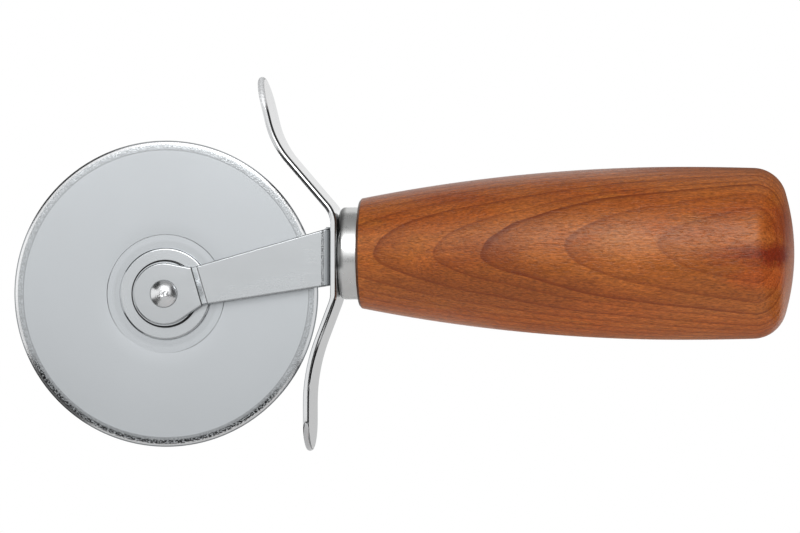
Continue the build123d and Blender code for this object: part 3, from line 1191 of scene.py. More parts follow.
    def fibres(self, graph: Graph, place: NodeSocket) -> tuple[NodeSocket, ...]:
        """Adds fine fibres, short flecks and grit along the grain.

        Args:
            graph: The material's graph.
            place: Coordinates in millimetres.

        Returns:
            The fibres' value, the flecks' mask and the fine grit, from 0 to 1.
        """
        sway = graph.times(self.sway_grain.read(graph, place), self.sway)
        x, y, z = graph.axes(place)
        swayed = graph.vector(x, graph.total(sway, y), graph.total(sway, z))
        fleck = graph.ease(self.fleck_grain.read(graph, swayed), *self.fleck_range)
        return self.fibre_grain.read(graph, swayed), fleck, self.grit_grain.read(graph, swayed)

    def material(self) -> Material:
        """Builds the material.

        Returns:
            The material.
        """
        material, graph, shader = new_material(self.name)
        place = graph.surface()
        lines = self.growth_lines(graph, place)
        fibre, fleck, grit = self.fibres(graph, place)
        patch = graph.ease(self.patch_grain.read(graph, place), *self.patch_range)
        tinge = graph.ease(self.tinge_grain.read(graph, place), *self.tinge_range)
        front = node_box("ferrule")[1].x
        from_front = graph.math("SUBTRACT", graph.axes(place)[0], front)
        # Painted shadow in the joint at the front rim, next to the ferrule.
        rim = graph.ease(from_front, self.painted_shadow_from_front, self.rim_end, self.painted_shadow_strength, 0.0)

        colour = graph.blend(patch, self.pale, self.warm)
        colour = graph.blend(tinge, colour, self.ochre)
        colour = graph.blend(1.0, colour, graph.ramp(fibre, self.fibre_tones), "MULTIPLY")
        # Patches of the wood's own tint and of painted light and shade.
        for stain_or_painted_light in self.stains_and_painted_light:
            colour = graph.blend(stain_or_painted_light.mask(graph, place), colour, stain_or_painted_light.tinge)
        colour = graph.blend(1.0, colour, graph.ramp(grit, self.grit_tones), "MULTIPLY")
        colour = graph.blend(graph.times(fleck, self.fleck_strength), colour, self.line)
        colour = graph.blend(graph.times(lines, self.line_strength), colour, self.line)
        colour = graph.blend(rim, colour, self.rim)

        glossiest = self.roughness - self.gloss_spread / 2
        shine = graph.spread(fibre, glossiest, glossiest + self.gloss_spread)
        pores = graph.total(fibre, graph.times(fleck, self.fleck_depth), graph.times(grit, self.grit_height))
        relief = graph.bump(pores, self.pore_strength, self.pore_depth)
        graph.supply(shader, {"Base Color": colour, "Roughness": shine, "Normal": relief})
        graph.supply(shader, {"Specular IOR Level": self.specular, "Specular Tint": self.gloss_tint})
        return material


class Finishes:
    """Every finish of the pizza wheel, built once."""

    satin: Colour = (0.522, 0.543, 0.559, 1.0)

    ferrule_steel = SteelFinish(
        name="ferrule_turned",
        tint=(0.745, 0.75, 0.745, 1.0),
        roughness=0.31,
        gloss_spread=0.12,
        marks=MarkRun.ROUND_HANDLE,
        mark_pitch=0.25,
        mark_depth=0.004,
        patch_size=5.0,
        # Painted reflection of the guard: a dark band round the ferrule's front, only above a height.
        painted_light_bands=(PaintedLightBand(40.2, 1.8, 0.28, tilt=0.0, above=-3.3),),
    )
    guard_steel = SteelFinish(
        name="guard_polished",
        tint=(0.74, 0.75, 0.76, 1.0),
        roughness=0.09,
        gloss_spread=0.04,
        marks=MarkRun.ALONG_ARM,
        mark_pitch=0.5,
        mark_depth=0.0001,
        rings=(Ring(52.6, 4.8, 1.28, roughness=0.6, on_rim=True, grain=0.4, metal=0.45),),
    )
    fork_steel = SteelFinish(
        name="fork_satin",
        tint=(0.5, 0.52, 0.534, 1.0),
        roughness=0.26,
        gloss_spread=0.05,
        marks=MarkRun.ALONG_ARM,
        mark_pitch=0.16,
        mark_depth=0.00002,
        # Painted shade round the foot of the rivet's head.
        rings=(Ring(3.1, 0.14, 0.4, roughness=0.3),),
        painted_light_bands=(
            # Painted highlight over the joggle's slope.
            PaintedLightBand(8.45, 0.85, 1.65),
            # Painted shade in the joggle's inner bend.
            PaintedLightBand(7.68, 0.2, 0.12),
            # Painted shade along the joggle's outer bend.
            PaintedLightBand(9.2, 0.17, 0.45),
            # A dotted dark line across the arm near the web.
            PaintedLightBand(36.5, 0.46, 0.14, tilt=0.0, grain=0.26),
            # Painted shade over the start of the bend into the web.
            PaintedLightBand(37.95, 0.6, 0.42, tilt=0.0),
        ),
    )
    tang_steel = SteelFinish(
        name="tang_turned",
        tint=satin,
        roughness=0.38,
        gloss_spread=0.08,
        marks=MarkRun.ROUND_HANDLE,
        mark_pitch=0.3,
        mark_depth=0.006,
    )
    rivet_steel = SteelFinish(
        name="rivet_peened",
        tint=(0.84, 0.85, 0.86, 1.0),
        roughness=0.31,
        gloss_spread=0.10,
        marks=MarkRun.ROUND_AXLE,
        mark_pitch=0.34,
        mark_depth=0.008,
    )
    bearing_steel = SteelFinish(
        name="bearing_turned",
        tint=satin,
        roughness=0.34,
        gloss_spread=0.08,
        marks=MarkRun.ROUND_AXLE,
        mark_pitch=0.2,
        mark_depth=0.003,
    )
    hub_steel = SteelFinish(
        name="hub_satin",
        tint=satin,
        roughness=0.26,
        gloss_spread=0.05,
        marks=MarkRun.ROUND_AXLE,
        mark_pitch=0.16,
        mark_depth=0.0012,
        # The first ring polishes the flange's edge; the second is a painted shadow in the gap round the washer.
        rings=(Ring(10.4, 0.3, 1.0, roughness=0.12), Ring(7.56, 0.3, 0.02, roughness=0.35)),
    )

    def __init__(self, centre: Vector, wheel: "WheelSizes") -> None:
        """Builds the materials.

        Args:
            centre: A point of the axle, in millimetres.
            wheel: Sizes of the wheel.
        """
        groups = NodeGroups()
        self.wood = FruitWood().material()
        self.blade = BladeFinish().material(groups, centre, wheel)
        self.ferrule = self.ferrule_steel.material(groups, centre)
        self.guard = self.guard_steel.material(groups, centre)
        self.fork = self.fork_steel.material(groups, centre)
        self.tang = self.tang_steel.material(groups, centre)
        self.rivet = self.rivet_steel.material(groups, centre)
        self.bearing = self.bearing_steel.material(groups, centre)
        self.hub = self.hub_steel.material(groups, centre)


def dome_radius(height: float, half_chord: float) -> float:
    """Gives the radius of an arc from its height and half its chord."""
    return (height**2 + half_chord**2) / (2 * height)


def circles_meet(first: Point, first_radius: float, second: Point, second_radius: float) -> Point:
    """Gives a point where two circles meet.

    Args:
        first: Centre of the first circle.
        first_radius: Its radius.
        second: Centre of the second circle.
        second_radius: Its radius.

    Returns:
        The meeting point on the left of the way from the first centre to the second.
    """
    step = Vector(second) - Vector(first)
    gap = step.length
    along = (gap**2 + first_radius**2 - second_radius**2) / (2 * gap)
    aside = math.sqrt(first_radius**2 - along**2)
    unit = step / gap
    meet = Vector(first) + unit * along + Vector((-unit.y, unit.x)) * aside
    return meet.x, meet.y


def beyond(centre: Point, through: Point, radius: float) -> Point:
    """Gives the point of a circle on the ray from its centre through another point."""
    point = Vector(centre) + (Vector(through) - Vector(centre)).normalized() * radius
    return point.x, point.y


@dataclass
class Grip:
    """Turned wooden handle with its ferrule and the tang that holds them to the fork."""

    finishes: Finishes
    front_diameter: float = 24.9
    front_rim: float = 0.5
    widest_from_front: float = 72.9
    rear_diameter: float = 38.3
    dome_height: float = 3.9
    corner_radius: float = 7.7
    ferrule_wall: float = 1.0
    ferrule_edge: float = 1.2
    ferrule_lip: float = 0.2
    glue_gap: float = 0.1
    tang_head_height: float = 1.5
    tang_head_diameter: float = 5.7
    tang_neck_radius: float = TANG_NECK_RADIUS
    tang_collar: float = 1.6
    tang_collar_diameter: float = 9.0
    tang_shank_diameter: float = 6.0
    tang_point: float = 4.0
    segments: int = 192
    tang_segments: int = 96
    body_steps: int = 64
    tail_steps: int = 16
    end_steps: int = 20
    edge_steps: int = 10
    crease: float = 25.0

    def build(self) -> None:
        """Builds the handle, the ferrule and the tang."""
        self.build_handle()
        self.build_ferrule()
        self.build_tang()

    @property
    def collar_front(self) -> float:
        """Where the tang's collar bears on the ferrule's floor."""
        return node_box("ferrule")[0].x + self.ferrule_wall

    def pen(self) -> Pen:
        """Gives a pen whose points are (place along the handle, radius)."""
        return Pen(X_AXIS, Z_AXIS, ORIGIN)

    def bore(self) -> list[Point]:
        """Works out the half section of the handle's bore and of its spigot in the ferrule.

        Returns:
            The points, from the bore's end to the spigot's shoulder.
        """
        ferrule = node_box("ferrule")[1]
        bore = self.tang_shank_diameter / 2 + self.glue_gap
        bore_end = node_box("tang")[1].x + self.glue_gap
        collar = self.tang_collar_diameter / 2 + self.glue_gap
        collar_x = self.collar_front + self.tang_collar + self.glue_gap
        spigot = ferrule.z - self.ferrule_wall - self.glue_gap
        spigot_x = self.collar_front + self.glue_gap
        return [
            (bore_end + bore, 0.0),
            (bore_end, bore),
            (collar_x, bore),
            (collar_x, collar),
            (spigot_x, collar),
            (spigot_x, spigot),
            (ferrule.x, spigot),
        ]

    def build_handle(self) -> None:
        """Turns the barrel: bore, spigot, swelling body, rounded corner and domed end."""
        high = node_box("handle")[1]
        front = node_box("ferrule")[1].x
        front_radius = self.front_diameter / 2
        widest = (front + self.widest_from_front, high.z)
        rear = (high.x - self.dome_height, self.rear_diameter / 2)
        body_radius = dome_radius(widest[1] - front_radius, self.widest_from_front)
        body_centre = (widest[0], widest[1] - body_radius)
        tail_radius = dome_radius(widest[1] - rear[1], rear[0] - widest[0])
        tail_centre = (widest[0], widest[1] - tail_radius)
        end_radius = dome_radius(self.dome_height, rear[1])
        end_centre = (high.x - end_radius, 0.0)
        corner_centre = circles_meet(
            end_centre, end_radius - self.corner_radius, tail_centre, tail_radius - self.corner_radius
        )
        corner_start = beyond(tail_centre, corner_centre, tail_radius)
        corner_end = beyond(end_centre, corner_centre, end_radius)
        rim_end = front + self.front_rim
        rim_radius = body_centre[1] + math.sqrt(body_radius**2 - (rim_end - widest[0]) ** 2)

        bore_end, *bore = self.bore()
        pen = self.pen().start(bore_end).line(*bore)
        pen.line((front, front_radius - self.front_rim), (rim_end, rim_radius))
        pen.arc_to(body_centre, widest, self.body_steps)
        pen.arc_to(tail_centre, corner_start, self.tail_steps)
        pen.arc_to(corner_centre, corner_end, self.end_steps)
        pen.arc_to(end_centre, (high.x, 0.0), self.end_steps)
        seat = Seat("handle_body", "handle_wood", "handle")
        finish_piece(pen.turned(self.segments), "handle_barrel", self.finishes.wood, seat, self.crease)

    def build_ferrule(self) -> None:
        """Turns the drawn cap with its rounded front edge and thin lip."""
        low, high = node_box("ferrule")
        radius = high.z
        inside = radius - self.ferrule_wall
        neck = self.tang_neck_radius
        pen = self.pen().start((low.x, neck))
        pen.line((low.x, radius), (high.x - self.ferrule_lip, radius), (high.x, radius - self.ferrule_lip))
        pen.line((high.x, inside), (self.collar_front, inside), (self.collar_front, neck)).close()
        pen.round_corner((low.x, radius), self.ferrule_edge, self.edge_steps)
        seat = Seat("handle_body", "ferrule_steel", "ferrule")
        finish_piece(pen.turned(self.segments), "ferrule_cap", self.finishes.ferrule, seat, self.crease)

    def build_tang(self) -> None:
        """Turns the tang: peened head, neck, collar and pointed shank."""
        low, high = node_box("tang")
        web_front = low.x + self.tang_head_height
        head = self.tang_head_diameter / 2
        neck = self.tang_neck_radius
        collar = self.tang_collar_diameter / 2
        collar_end = self.collar_front + self.tang_collar
        shank = self.tang_shank_diameter / 2
        ball = dome_radius(self.tang_head_height, head)
        pen = self.pen().start((low.x, 0.0))
        pen.arc_to((low.x + ball, 0.0), (web_front, head), self.edge_steps)
        pen.line((web_front, neck), (self.collar_front, neck), (self.collar_front, collar))
        pen.line((collar_end, collar), (collar_end, shank), (high.x - self.tang_point, shank))
        pen.line((high.x, shank / 2), (high.x, 0.0))
        seat = Seat("handle_body", "tang_steel", "tang")
        finish_piece(pen.turned(self.tang_segments), "tang_rod", self.finishes.tang, seat, self.crease)


@dataclass(frozen=True)
class Run:
    """One straight or curved run of a bent strip's middle line."""

    begins: float
    length: float
    start: Vector
    heading: float
    bend: float

    def at(self, distance: float) -> tuple[Vector, float]:
        """Gives a point of the run.

        Args:
            distance: Distance along the whole line.

        Returns:
            The point and the line's heading there.
        """
        step = distance - self.begins
        heading = self.heading + self.bend * step
        if self.bend == 0.0:
            return self.start + Vector((math.cos(heading), math.sin(heading))) * step, heading
        turn = Vector(
            (math.sin(heading) - math.sin(self.heading), math.cos(self.heading) - math.cos(heading))
        )
        return self.start + turn / self.bend, heading


class BendLine:
    """Middle line of a bent strip: straight runs joined by arcs."""

    def __init__(self, points: list[Vector], radii: list[float]) -> None:
        """Works out the runs.

        Args:
            points: Ends and knees of the line.
            radii: Bend radius at each knee.
        """
        self.runs: list[Run] = []
        self.length = 0.0
        here = points[0]
        for index, point in enumerate(points[1:], start=1):
            way = point - points[index - 1]
            heading = math.atan2(way.y, way.x)
            if index == len(points) - 1:
                self.add((point - here).length, here, heading, 0.0)
                break
            after = points[index + 1] - point
            turn = math.remainder(math.atan2(after.y, after.x) - heading, FULL_TURN)
            radius = radii[index - 1]
            reach = radius * math.tan(abs(turn) / 2)
            self.add((point - here).length - reach, here, heading, 0.0)
            here, heading = self.at(self.length)
            self.add(radius * abs(turn), here, heading, math.copysign(1 / radius, turn))
            here, heading = self.at(self.length)

    def add(self, length: float, start: Vector, heading: float, bend: float) -> None:
        """Adds a run at the line's end."""
        self.runs.append(Run(self.length, length, start, heading, bend))
        self.length += length

    def at(self, distance: float) -> tuple[Vector, float]:
        """Gives the point and the heading at a distance along the line."""
        run = next((run for run in self.runs if distance <= run.begins + run.length), self.runs[-1])
        return run.at(distance)

    def stations(self, step: float) -> list[float]:
        """Gives the distances at which the strip has to be cut so that it can bend.

        Args:
            step: Largest turn between two cuts, in radians.

        Returns:
            The distances, in order.
        """
        places = []
        for run in self.runs:
            if run.bend == 0.0:
                continue
            count = math.ceil(abs(run.bend) * run.length / step)
            places.extend(run.begins + run.length * index / count for index in range(count + 1))
        return places


def leaning(length: float, lean: float) -> Vector:
    """Gives a step that leans from upright towards the blade, by an angle in degrees."""
    angle = math.radians(lean)
    return Vector((-math.sin(angle), math.cos(angle))) * length


@dataclass
class Guard:
    """Polished strip bent into a thumb rest above and a finger guard below."""

    finishes: Finishes
    edge_radius: float = 0.72
    edge_steps: int = 5
    rim_angle: float = math.radians(60)
    end_radius: float = 13.0
    end_steps: int = 20
    corner_radius: float = 5.6
    corner_steps: int = 8
    root_radius: float = 6.5
    thumb_root: float = 9.0
    thumb_lean: float = 40.7
    thumb_slope: float = 21.0
    thumb_knee_radius: float = 21.0
    thumb_tip_lean: float = 13.5
    thumb_tip: float = 40.25
    finger_root: float = -10.2
    finger_lean: float = 20.8
    finger_slope: float = 17.5
    finger_knee_radius: float = 42.0
    finger_tip: float = -45.0
    thickness: float = 1.5
    neck_radius: float = TANG_NECK_RADIUS
    neck_segments: int = 48
    hole_margin: float = 3.5
    root_run: int = 4
    bend_step: float = math.radians(2.5)
    crease: float = 35.0

    def middle_line(self) -> BendLine:
        """Works out the strip's middle line in the XZ plane, from the thumb's tip to the finger's tip.

        Returns:
            The middle line.
        """
        middle_x = node_box("ferrule")[0].x - self.thickness / 2
        thumb_root = Vector((middle_x, self.thumb_root))
        finger_root = Vector((middle_x, self.finger_root))
        thumb_knee = thumb_root + leaning(self.thumb_slope, self.thumb_lean)
        finger_knee = finger_root + leaning(self.finger_slope, 180 - self.finger_lean)
        rise = self.thumb_tip - thumb_knee.y
        tip_length = rise / math.cos(math.radians(self.thumb_tip_lean))
        thumb_tip = thumb_knee + leaning(tip_length, self.thumb_tip_lean)
        finger_tip = Vector((finger_knee.x, self.finger_tip))
        radii = [self.thumb_knee_radius, self.root_radius, self.root_radius, self.finger_knee_radius]
        return BendLine([thumb_tip, thumb_knee, thumb_root, finger_root, finger_knee, finger_tip], radii)

    def flat_strip(self, length: float) -> BMesh:
        """Draws the flat strip with its crowned ends: X along it, Y across, Z through it.

        Args:
            length: Length of the strip.

        Returns:
            The plate with its rims rounded.
        """
        half = node_box("guard")[1].y
        inset = half - self.corner_radius
        crown = self.end_radius
        drop = crown - math.sqrt((crown - self.corner_radius) ** 2 - inset**2)
        touch = beyond((crown, 0.0), (drop, inset), crown)
        far_drop = length - drop
        far_touch = length - touch[0]
        pen = Pen(X_AXIS, Y_AXIS, Z_AXIS * -self.thickness / 2).start((drop, half))
        pen.arc_to((drop, inset), touch, self.corner_steps)
        pen.arc_to((crown, 0.0), (touch[0], -touch[1]), self.end_steps)
        pen.arc_to((drop, -inset), (drop, -half), self.corner_steps)
        pen.line((far_drop, -half))
        pen.arc_to((far_drop, -inset), (far_touch, -touch[1]), self.corner_steps)
        pen.arc_to((length - crown, 0.0), (far_touch, touch[1]), self.end_steps)
        pen.arc_to((far_drop, inset), (far_drop, half), self.corner_steps)
        mesh = pen.close().plate(Z_AXIS * self.thickness)
        rims = [edge for edge in mesh.edges if edge.calc_face_angle(0.0) > self.rim_angle]
        round_off(mesh, rims, "EDGES", self.edge_radius, self.edge_steps)
        rim = mesh.verts.layers.float.new(RIM_LAYER)
        for vert in mesh.verts:
            vert[rim] = float(abs(vert.co.z) < self.thickness / 2 - WELD)
        return mesh

    def build(self) -> None:
        """Draws the strip flat, cuts it where it bends, drills it and bends it along its middle line."""
        line = self.middle_line()
        root = line.runs[self.root_run]
        hole = root.begins + root.start.y
        mesh = self.flat_strip(line.length)
        for place in [*line.stations(self.bend_step), hole - self.hole_margin, hole + self.hole_margin]:
            cut_at(mesh, X_AXIS * place, X_AXIS)
        drill(mesh, X_AXIS * hole, Z_AXIS, self.neck_radius, self.neck_segments)
        for vert in mesh.verts:
            point, heading = line.at(vert.co.x)
            bent = point + Vector((-math.sin(heading), math.cos(heading))) * vert.co.z
            vert.co = (bent.x, vert.co.y, bent.y)
        bmesh.ops.recalc_face_normals(mesh, faces=mesh.faces[:])
        seat = Seat("handle_body", "guard_steel", "guard")
        finish_piece(mesh, "guard_strip", self.finishes.guard, seat, self.crease)


@dataclass
class Fork:
    """Satin strip bent into a U, with tapered arms whose eyes are joggled in towards the blade."""

    finishes: Finishes
    axle: Vector
    thickness: float = 1.5
    bend_radius: float = 1.5
    edge_radius: float = 0.34
    edge_steps: int = 4
    root_height: float = 13.15
    root_drop: float = 0.6
    neck_width: float = 8.85
    neck_distance: float = 7.75
    neck_reach: float = 0.7
    neck_steps: int = 6
    joggle_tilt: float = math.radians(16.3)
    joggle_run: float = 1.35
    joggle_round: float = 0.15
    joggle_depth: float = 1.3
    eye_diameter: float = 14.1
    eye_steps: int = 56
    axle_hole_radius: float = RIVET_RADIUS
    axle_hole_segments: int = 48
    neck_hole_radius: float = TANG_NECK_RADIUS
    neck_hole_steps: int = 16
    bend_cuts: int = 8
    joggle_cuts: int = 16
    crease: float = 35.0

    @property
    def reach(self) -> float:
        """Distance from the axle to the guard."""
        return node_box("fork")[1].x - self.axle.x

    @property
    def outer(self) -> float:
        """Distance of the arm's outer face from the blade's middle plane."""
        return node_box("fork")[1].y

    @property
    def bend_start(self) -> float:
        """Where the arm starts to bend into the web, from the axle."""
        return self.reach - self.thickness / 2 - self.bend_radius

    @property
    def bend_length(self) -> float:
        """Length of the bend between arm and web."""
        return self.bend_radius * QUARTER_TURN

    @property
    def flat_length(self) -> float:
        """Length of half the flat strip, from the axle to the web's middle."""
        web_half = self.outer - self.thickness / 2 - self.bend_radius
        return self.bend_start + self.bend_length + web_half

    @property
    def root(self) -> float:
        """Height of the arm's middle at the guard, above the axle."""
        return -self.axle.z - self.root_drop

    @property
    def lean(self) -> float:
        """Angle at which the arm's middle line rises."""
        return math.atan2(self.root, self.reach)

    @property
    def across_joggle(self) -> Vector:
        """Direction square to the joggle's lines, away from the axle."""
        return Vector((math.cos(self.joggle_tilt), 0, math.sin(self.joggle_tilt)))

    @property
    def joggle_start(self) -> float:
        """Distance from the axle, across the joggle, where its first rounding starts."""
        return self.neck_distance * math.cos(self.joggle_tilt - self.lean) - self.joggle_round

    @property
    def joggle_length(self) -> float:
        """Length of the joggle with its two roundings."""
        return self.joggle_run + 2 * self.joggle_round

    def outline(self) -> Pen:
        """Draws half the flat strip in the near arm's plane: eye, neck, taper and half the web.

        Returns:
            The pen, with the closed outline.
        """
        eye = self.eye_diameter / 2
        neck = Vector((math.cos(self.lean), math.sin(self.lean))) * self.neck_distance
        across = Vector((-math.sin(self.joggle_tilt), math.cos(self.joggle_tilt))) * self.neck_width / 2
        upper = neck + across
        lower = neck - across
        upper_touch = math.atan2(upper.y, upper.x) + math.acos(eye / upper.length)
        lower_touch = math.atan2(lower.y, lower.x) - math.acos(eye / lower.length)
        top = self.root + self.root_height / 2
        bottom = self.root - self.root_height / 2
        hole_z = -self.axle.z
        end = self.flat_length
        pen = Pen(X_AXIS, Z_AXIS, Vector((self.axle.x, -self.outer, self.axle.z)))
        pen.start((eye * math.cos(upper_touch), eye * math.sin(upper_touch)))
        pen.arc((0.0, 0.0), lower_touch + FULL_TURN - upper_touch, self.eye_steps)
        pen.line((lower.x, lower.y), (self.reach, bottom), (end, bottom))
        pen.line((end, hole_z - self.neck_hole_radius))
        pen.arc((end, hole_z), -math.pi, self.neck_hole_steps)
        pen.line((end, top), (self.reach, top), (upper.x, upper.y)).close()
        for corner in (upper, lower):
            pen.round_corner((corner.x, corner.y), self.neck_reach, self.neck_steps)
        return pen

    def flat_arm(self) -> BMesh:
        """Makes half the flat strip.

        Returns:
            The plate with its outer rim rounded and open at the web's middle.
        """
        mesh = self.outline().plate(Y_AXIS * self.thickness)
        end_x = self.axle.x + self.flat_length
        rims = [
            edge
            for edge in mesh.edges
            if all(abs(vert.co.y + self.outer) < WELD for vert in edge.verts)
            and not all(self.at_middle(vert.co, end_x) for vert in edge.verts)
        ]
        round_off(mesh, rims, "EDGES", self.edge_radius, self.edge_steps)
        caps = [face for face in mesh.faces if all(abs(vert.co.x - end_x) < WELD for vert in face.verts)]
        bmesh.ops.delete(mesh, geom=caps, context="FACES")
        return mesh

    def at_middle(self, place: Vector, end_x: float) -> bool:
        """Tells whether a point lies on the web's middle line or on the tang's hole."""
        from_hole = math.hypot(place.x - end_x, place.z)
        return abs(place.x - end_x) < WELD or from_hole < self.neck_hole_radius + WELD

    def joggle(self, distance: float) -> float:
        """Gives how far the joggle presses a point of the arm towards the blade.

        Args:
            distance: Distance from the axle across the joggle.

        Returns:
            The press depth.
        """
        share = min(1.0, max(0.0, (distance - self.joggle_start) / self.joggle_length))
        corner = self.joggle_round / self.joggle_length * 2
        slope = 1 / (1 - corner)
        if share < corner:
            pressed = slope * share**2 / (2 * corner)
        elif share > 1 - corner:
            pressed = 1 - slope * (1 - share) ** 2 / (2 * corner)
        else:
            pressed = slope * (share - corner / 2)
        return self.joggle_depth * (1 - pressed)

    def cut(self, mesh: BMesh) -> None:
        """Cuts the flat strip where the joggle and the web's bend will shape it.

        Args:
            mesh: Half the flat strip.
        """
        along = self.across_joggle
        for index in range(self.joggle_cuts + 1):
            distance = self.joggle_start + self.joggle_length * index / self.joggle_cuts
            cut_at(mesh, self.axle + along * distance, along)
        for index in range(self.bend_cuts + 1):
            distance = self.bend_start + self.bend_length * index / self.bend_cuts
            cut_at(mesh, X_AXIS * (self.axle.x + distance), X_AXIS)

    def shape(self, mesh: BMesh) -> None:
        """Presses the joggle and folds the strip's end into the web.

        Args:
            mesh: Half the flat strip, cut where it bends.
        """
        along = self.across_joggle
        middle = self.outer - self.thickness / 2
        bend_x = self.axle.x + self.bend_start
        for vert in mesh.verts:
            past = vert.co.x - bend_x
            if past <= 0:
                vert.co.y += self.joggle((vert.co - self.axle).dot(along))
                continue
            arm = self.bend_radius - middle - vert.co.y
            angle = min(past, self.bend_length) / self.bend_radius
            flat = max(0.0, past - self.bend_length)
            vert.co.x = bend_x + arm * math.sin(angle)
            vert.co.y = -middle + self.bend_radius - arm * math.cos(angle) + flat

    def build(self) -> None:
        """Builds half the fork, mirrors it to the far side and welds the two at the web's middle."""
        mesh = self.flat_arm()
        self.cut(mesh)
        drill(mesh, self.axle, Y_AXIS, self.axle_hole_radius, self.axle_hole_segments)
        self.shape(mesh)
        whole = mesh.verts[:] + mesh.edges[:] + mesh.faces[:]
        bmesh.ops.mirror(mesh, geom=whole, matrix=Matrix.Identity(4), axis="Y", merge_dist=WELD)
        close_up(mesh)
        seat = Seat("handle_body", "fork_steel", "fork")
        finish_piece(mesh, "fork_strap", self.finishes.fork, seat, self.crease)


@dataclass
class Axle:
    """Rivet with two peened heads, its spacer washers and the sleeve between them."""

    finishes: Finishes
    axle: Vector
    shank_radius: float = RIVET_RADIUS
    head_radius: float = 3.0
    head_height: float = 1.55
    head_band: float = 0.25
    head_steps: int = 18
    peen_radius: float = 1.5
    peen_depth: float = 0.34
    peen_grain: float = 2.4
    peen_sink: float = 0.35
    washer_edge: float = 0.18
    washer_edge_steps: int = 4
    segments: int = 128
    crease: float = 30.0

    def build(self) -> None:
        """Builds the rivet and the washers, and dresses the sleeve."""
        self.build_rivet()
        for node in ("spacer_washer_front", "spacer_washer_rear"):
            self.build_washer(node)
        dress(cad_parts["axle_sleeve"], self.finishes.bearing)

    def build_rivet(self) -> None:
        """Turns the rivet and roughens the middle of each head, where it was peened."""
        high = node_box("axle_rivet")[1].y
        under = high - self.head_height
        band = under + self.head_band
        head = self.head_radius
        ball = dome_radius(self.head_height - self.head_band, head)
        pen = axle_pen(self.axle).start((-high, 0.0))
        pen.arc_to((ball - high, 0.0), (-band, head), self.head_steps)
        pen.line((-under, head), (-under, self.shank_radius), (under, self.shank_radius))
        pen.line((under, head), (band, head))
        pen.arc_to((high - ball, 0.0), (high, 0.0), self.head_steps)
        mesh = pen.turned(self.segments)
        for vert in mesh.verts:
            local = vert.co - self.axle
            radius = math.hypot(local.x, local.z)
            if radius < self.peen_radius and abs(local.y) > band:
                fade = (1 - (radius / self.peen_radius) ** 2) ** 2
                rough = noise.noise(local * self.peen_grain) - self.peen_sink
                vert.co.y += math.copysign(self.peen_depth * rough * fade, local.y)
        seat = Seat("handle_body", "rivet_steel", "axle_rivet")
        finish_piece(mesh, "rivet_peened_heads", self.finishes.rivet, seat, self.crease)

    def build_washer(self, node: str) -> None:
        """Turns a washer with softly broken edges.

        Args:
            node: Name of the washer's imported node.
        """
        pen = ring_section(self.axle, node, self.shank_radius)
        for corner in node_box(node):
            pen.round_corner((corner.y, radius_of(node)), self.washer_edge, self.washer_edge_steps)
        name = node.replace("spacer_washer", "washer_turned")
        seat = Seat("handle_body", "hub_steel", node)
        finish_piece(pen.turned(self.segments), name, self.finishes.hub, seat, self.crease)


@dataclass
class WheelSizes:
    """Sizes of the wheel that its mesh and its finish share."""

    bevel_width: float = 2.2
    hone_width: float = 0.85
    hone_half_thickness: float = 0.417
    burr_width: float = 0.42
    burr_half_thickness: float = 0.26
    edge_half_thickness: float = 0.06
    dish_diameter: float = 34.0
    dish_depth: float = 0.07
    coin_diameter: float = 27.2
    coin_step: float = 0.08
    coin_slope: float = 0.15
    bush_radius: float = 4.53
    flange_edge: float = 0.5

    @property
    def blade_radius(self) -> float:
        """Radius of the blade."""
        return radius_of("blade")

    @property
    def grind_radius(self) -> float:
        """Radius where the ground bevel starts."""
        return self.blade_radius - self.bevel_width

    @property
    def hone_radius(self) -> float:
        """Radius where the honed edge starts."""
        return self.blade_radius - self.hone_width


@dataclass
class Wheel:
    """Bevelled blade with its hub flanges and its bearing bush."""

    finishes: Finishes
    axle: Vector
    sizes: WheelSizes
    blade_segments: int = 288
    blade_crease: float = 4.0
    flange_segments: int = 144
    flange_edge_steps: int = 6
    flange_crease: float = 30.0

    def build(self) -> None:
        """Builds the blade and the flanges, and dresses the bush."""
        self.build_blade()
        for node in ("hub_flange_front", "hub_flange_rear"):
            self.build_flange(node)
        dress(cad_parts["hub_bush"], self.finishes.bearing)

    def build_blade(self) -> None:
        """Turns the blade: coined middle, dish, flat, ground bevel and honed edge on both sides."""
        sizes = self.sizes
        face = node_box("blade")[1].y
        coin = sizes.coin_diameter / 2
        floor = face - sizes.dish_depth - sizes.coin_step
        side = [
            (floor, sizes.bush_radius),
            (floor, coin - sizes.coin_slope),
            (floor + sizes.coin_step, coin),
            (face, sizes.dish_diameter / 2),
            (face, sizes.grind_radius),
            (sizes.hone_half_thickness, sizes.hone_radius),
            (sizes.burr_half_thickness, sizes.blade_radius - sizes.burr_width),
            (sizes.edge_half_thickness, sizes.blade_radius),
        ]
        near = [(-depth, radius) for depth, radius in side]
        pen = axle_pen(self.axle).start(near[0]).line(*near[1:], *reversed(side)).close()
        mesh = pen.turned(self.blade_segments)
        seat = Seat("wheel_body", "blade_steel", "blade")
        finish_piece(mesh, "blade_disc", self.finishes.blade, seat, self.blade_crease)

    def build_flange(self, node: str) -> None:
        """Turns a hub flange with a rounded outer edge.

        Args:
            node: Name of the flange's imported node.
        """
        outer = max((corner.y for corner in node_box(node)), key=abs)
        pen = ring_section(self.axle, node, self.sizes.bush_radius)
        pen.round_corner((outer, radius_of(node)), self.sizes.flange_edge, self.flange_edge_steps)
        mesh = pen.turned(self.flange_segments)
        name = node.replace("hub_flange", "flange_turned")
        seat = Seat("wheel_body", "hub_steel", node)
        finish_piece(mesh, name, self.finishes.hub, seat, self.flange_crease)


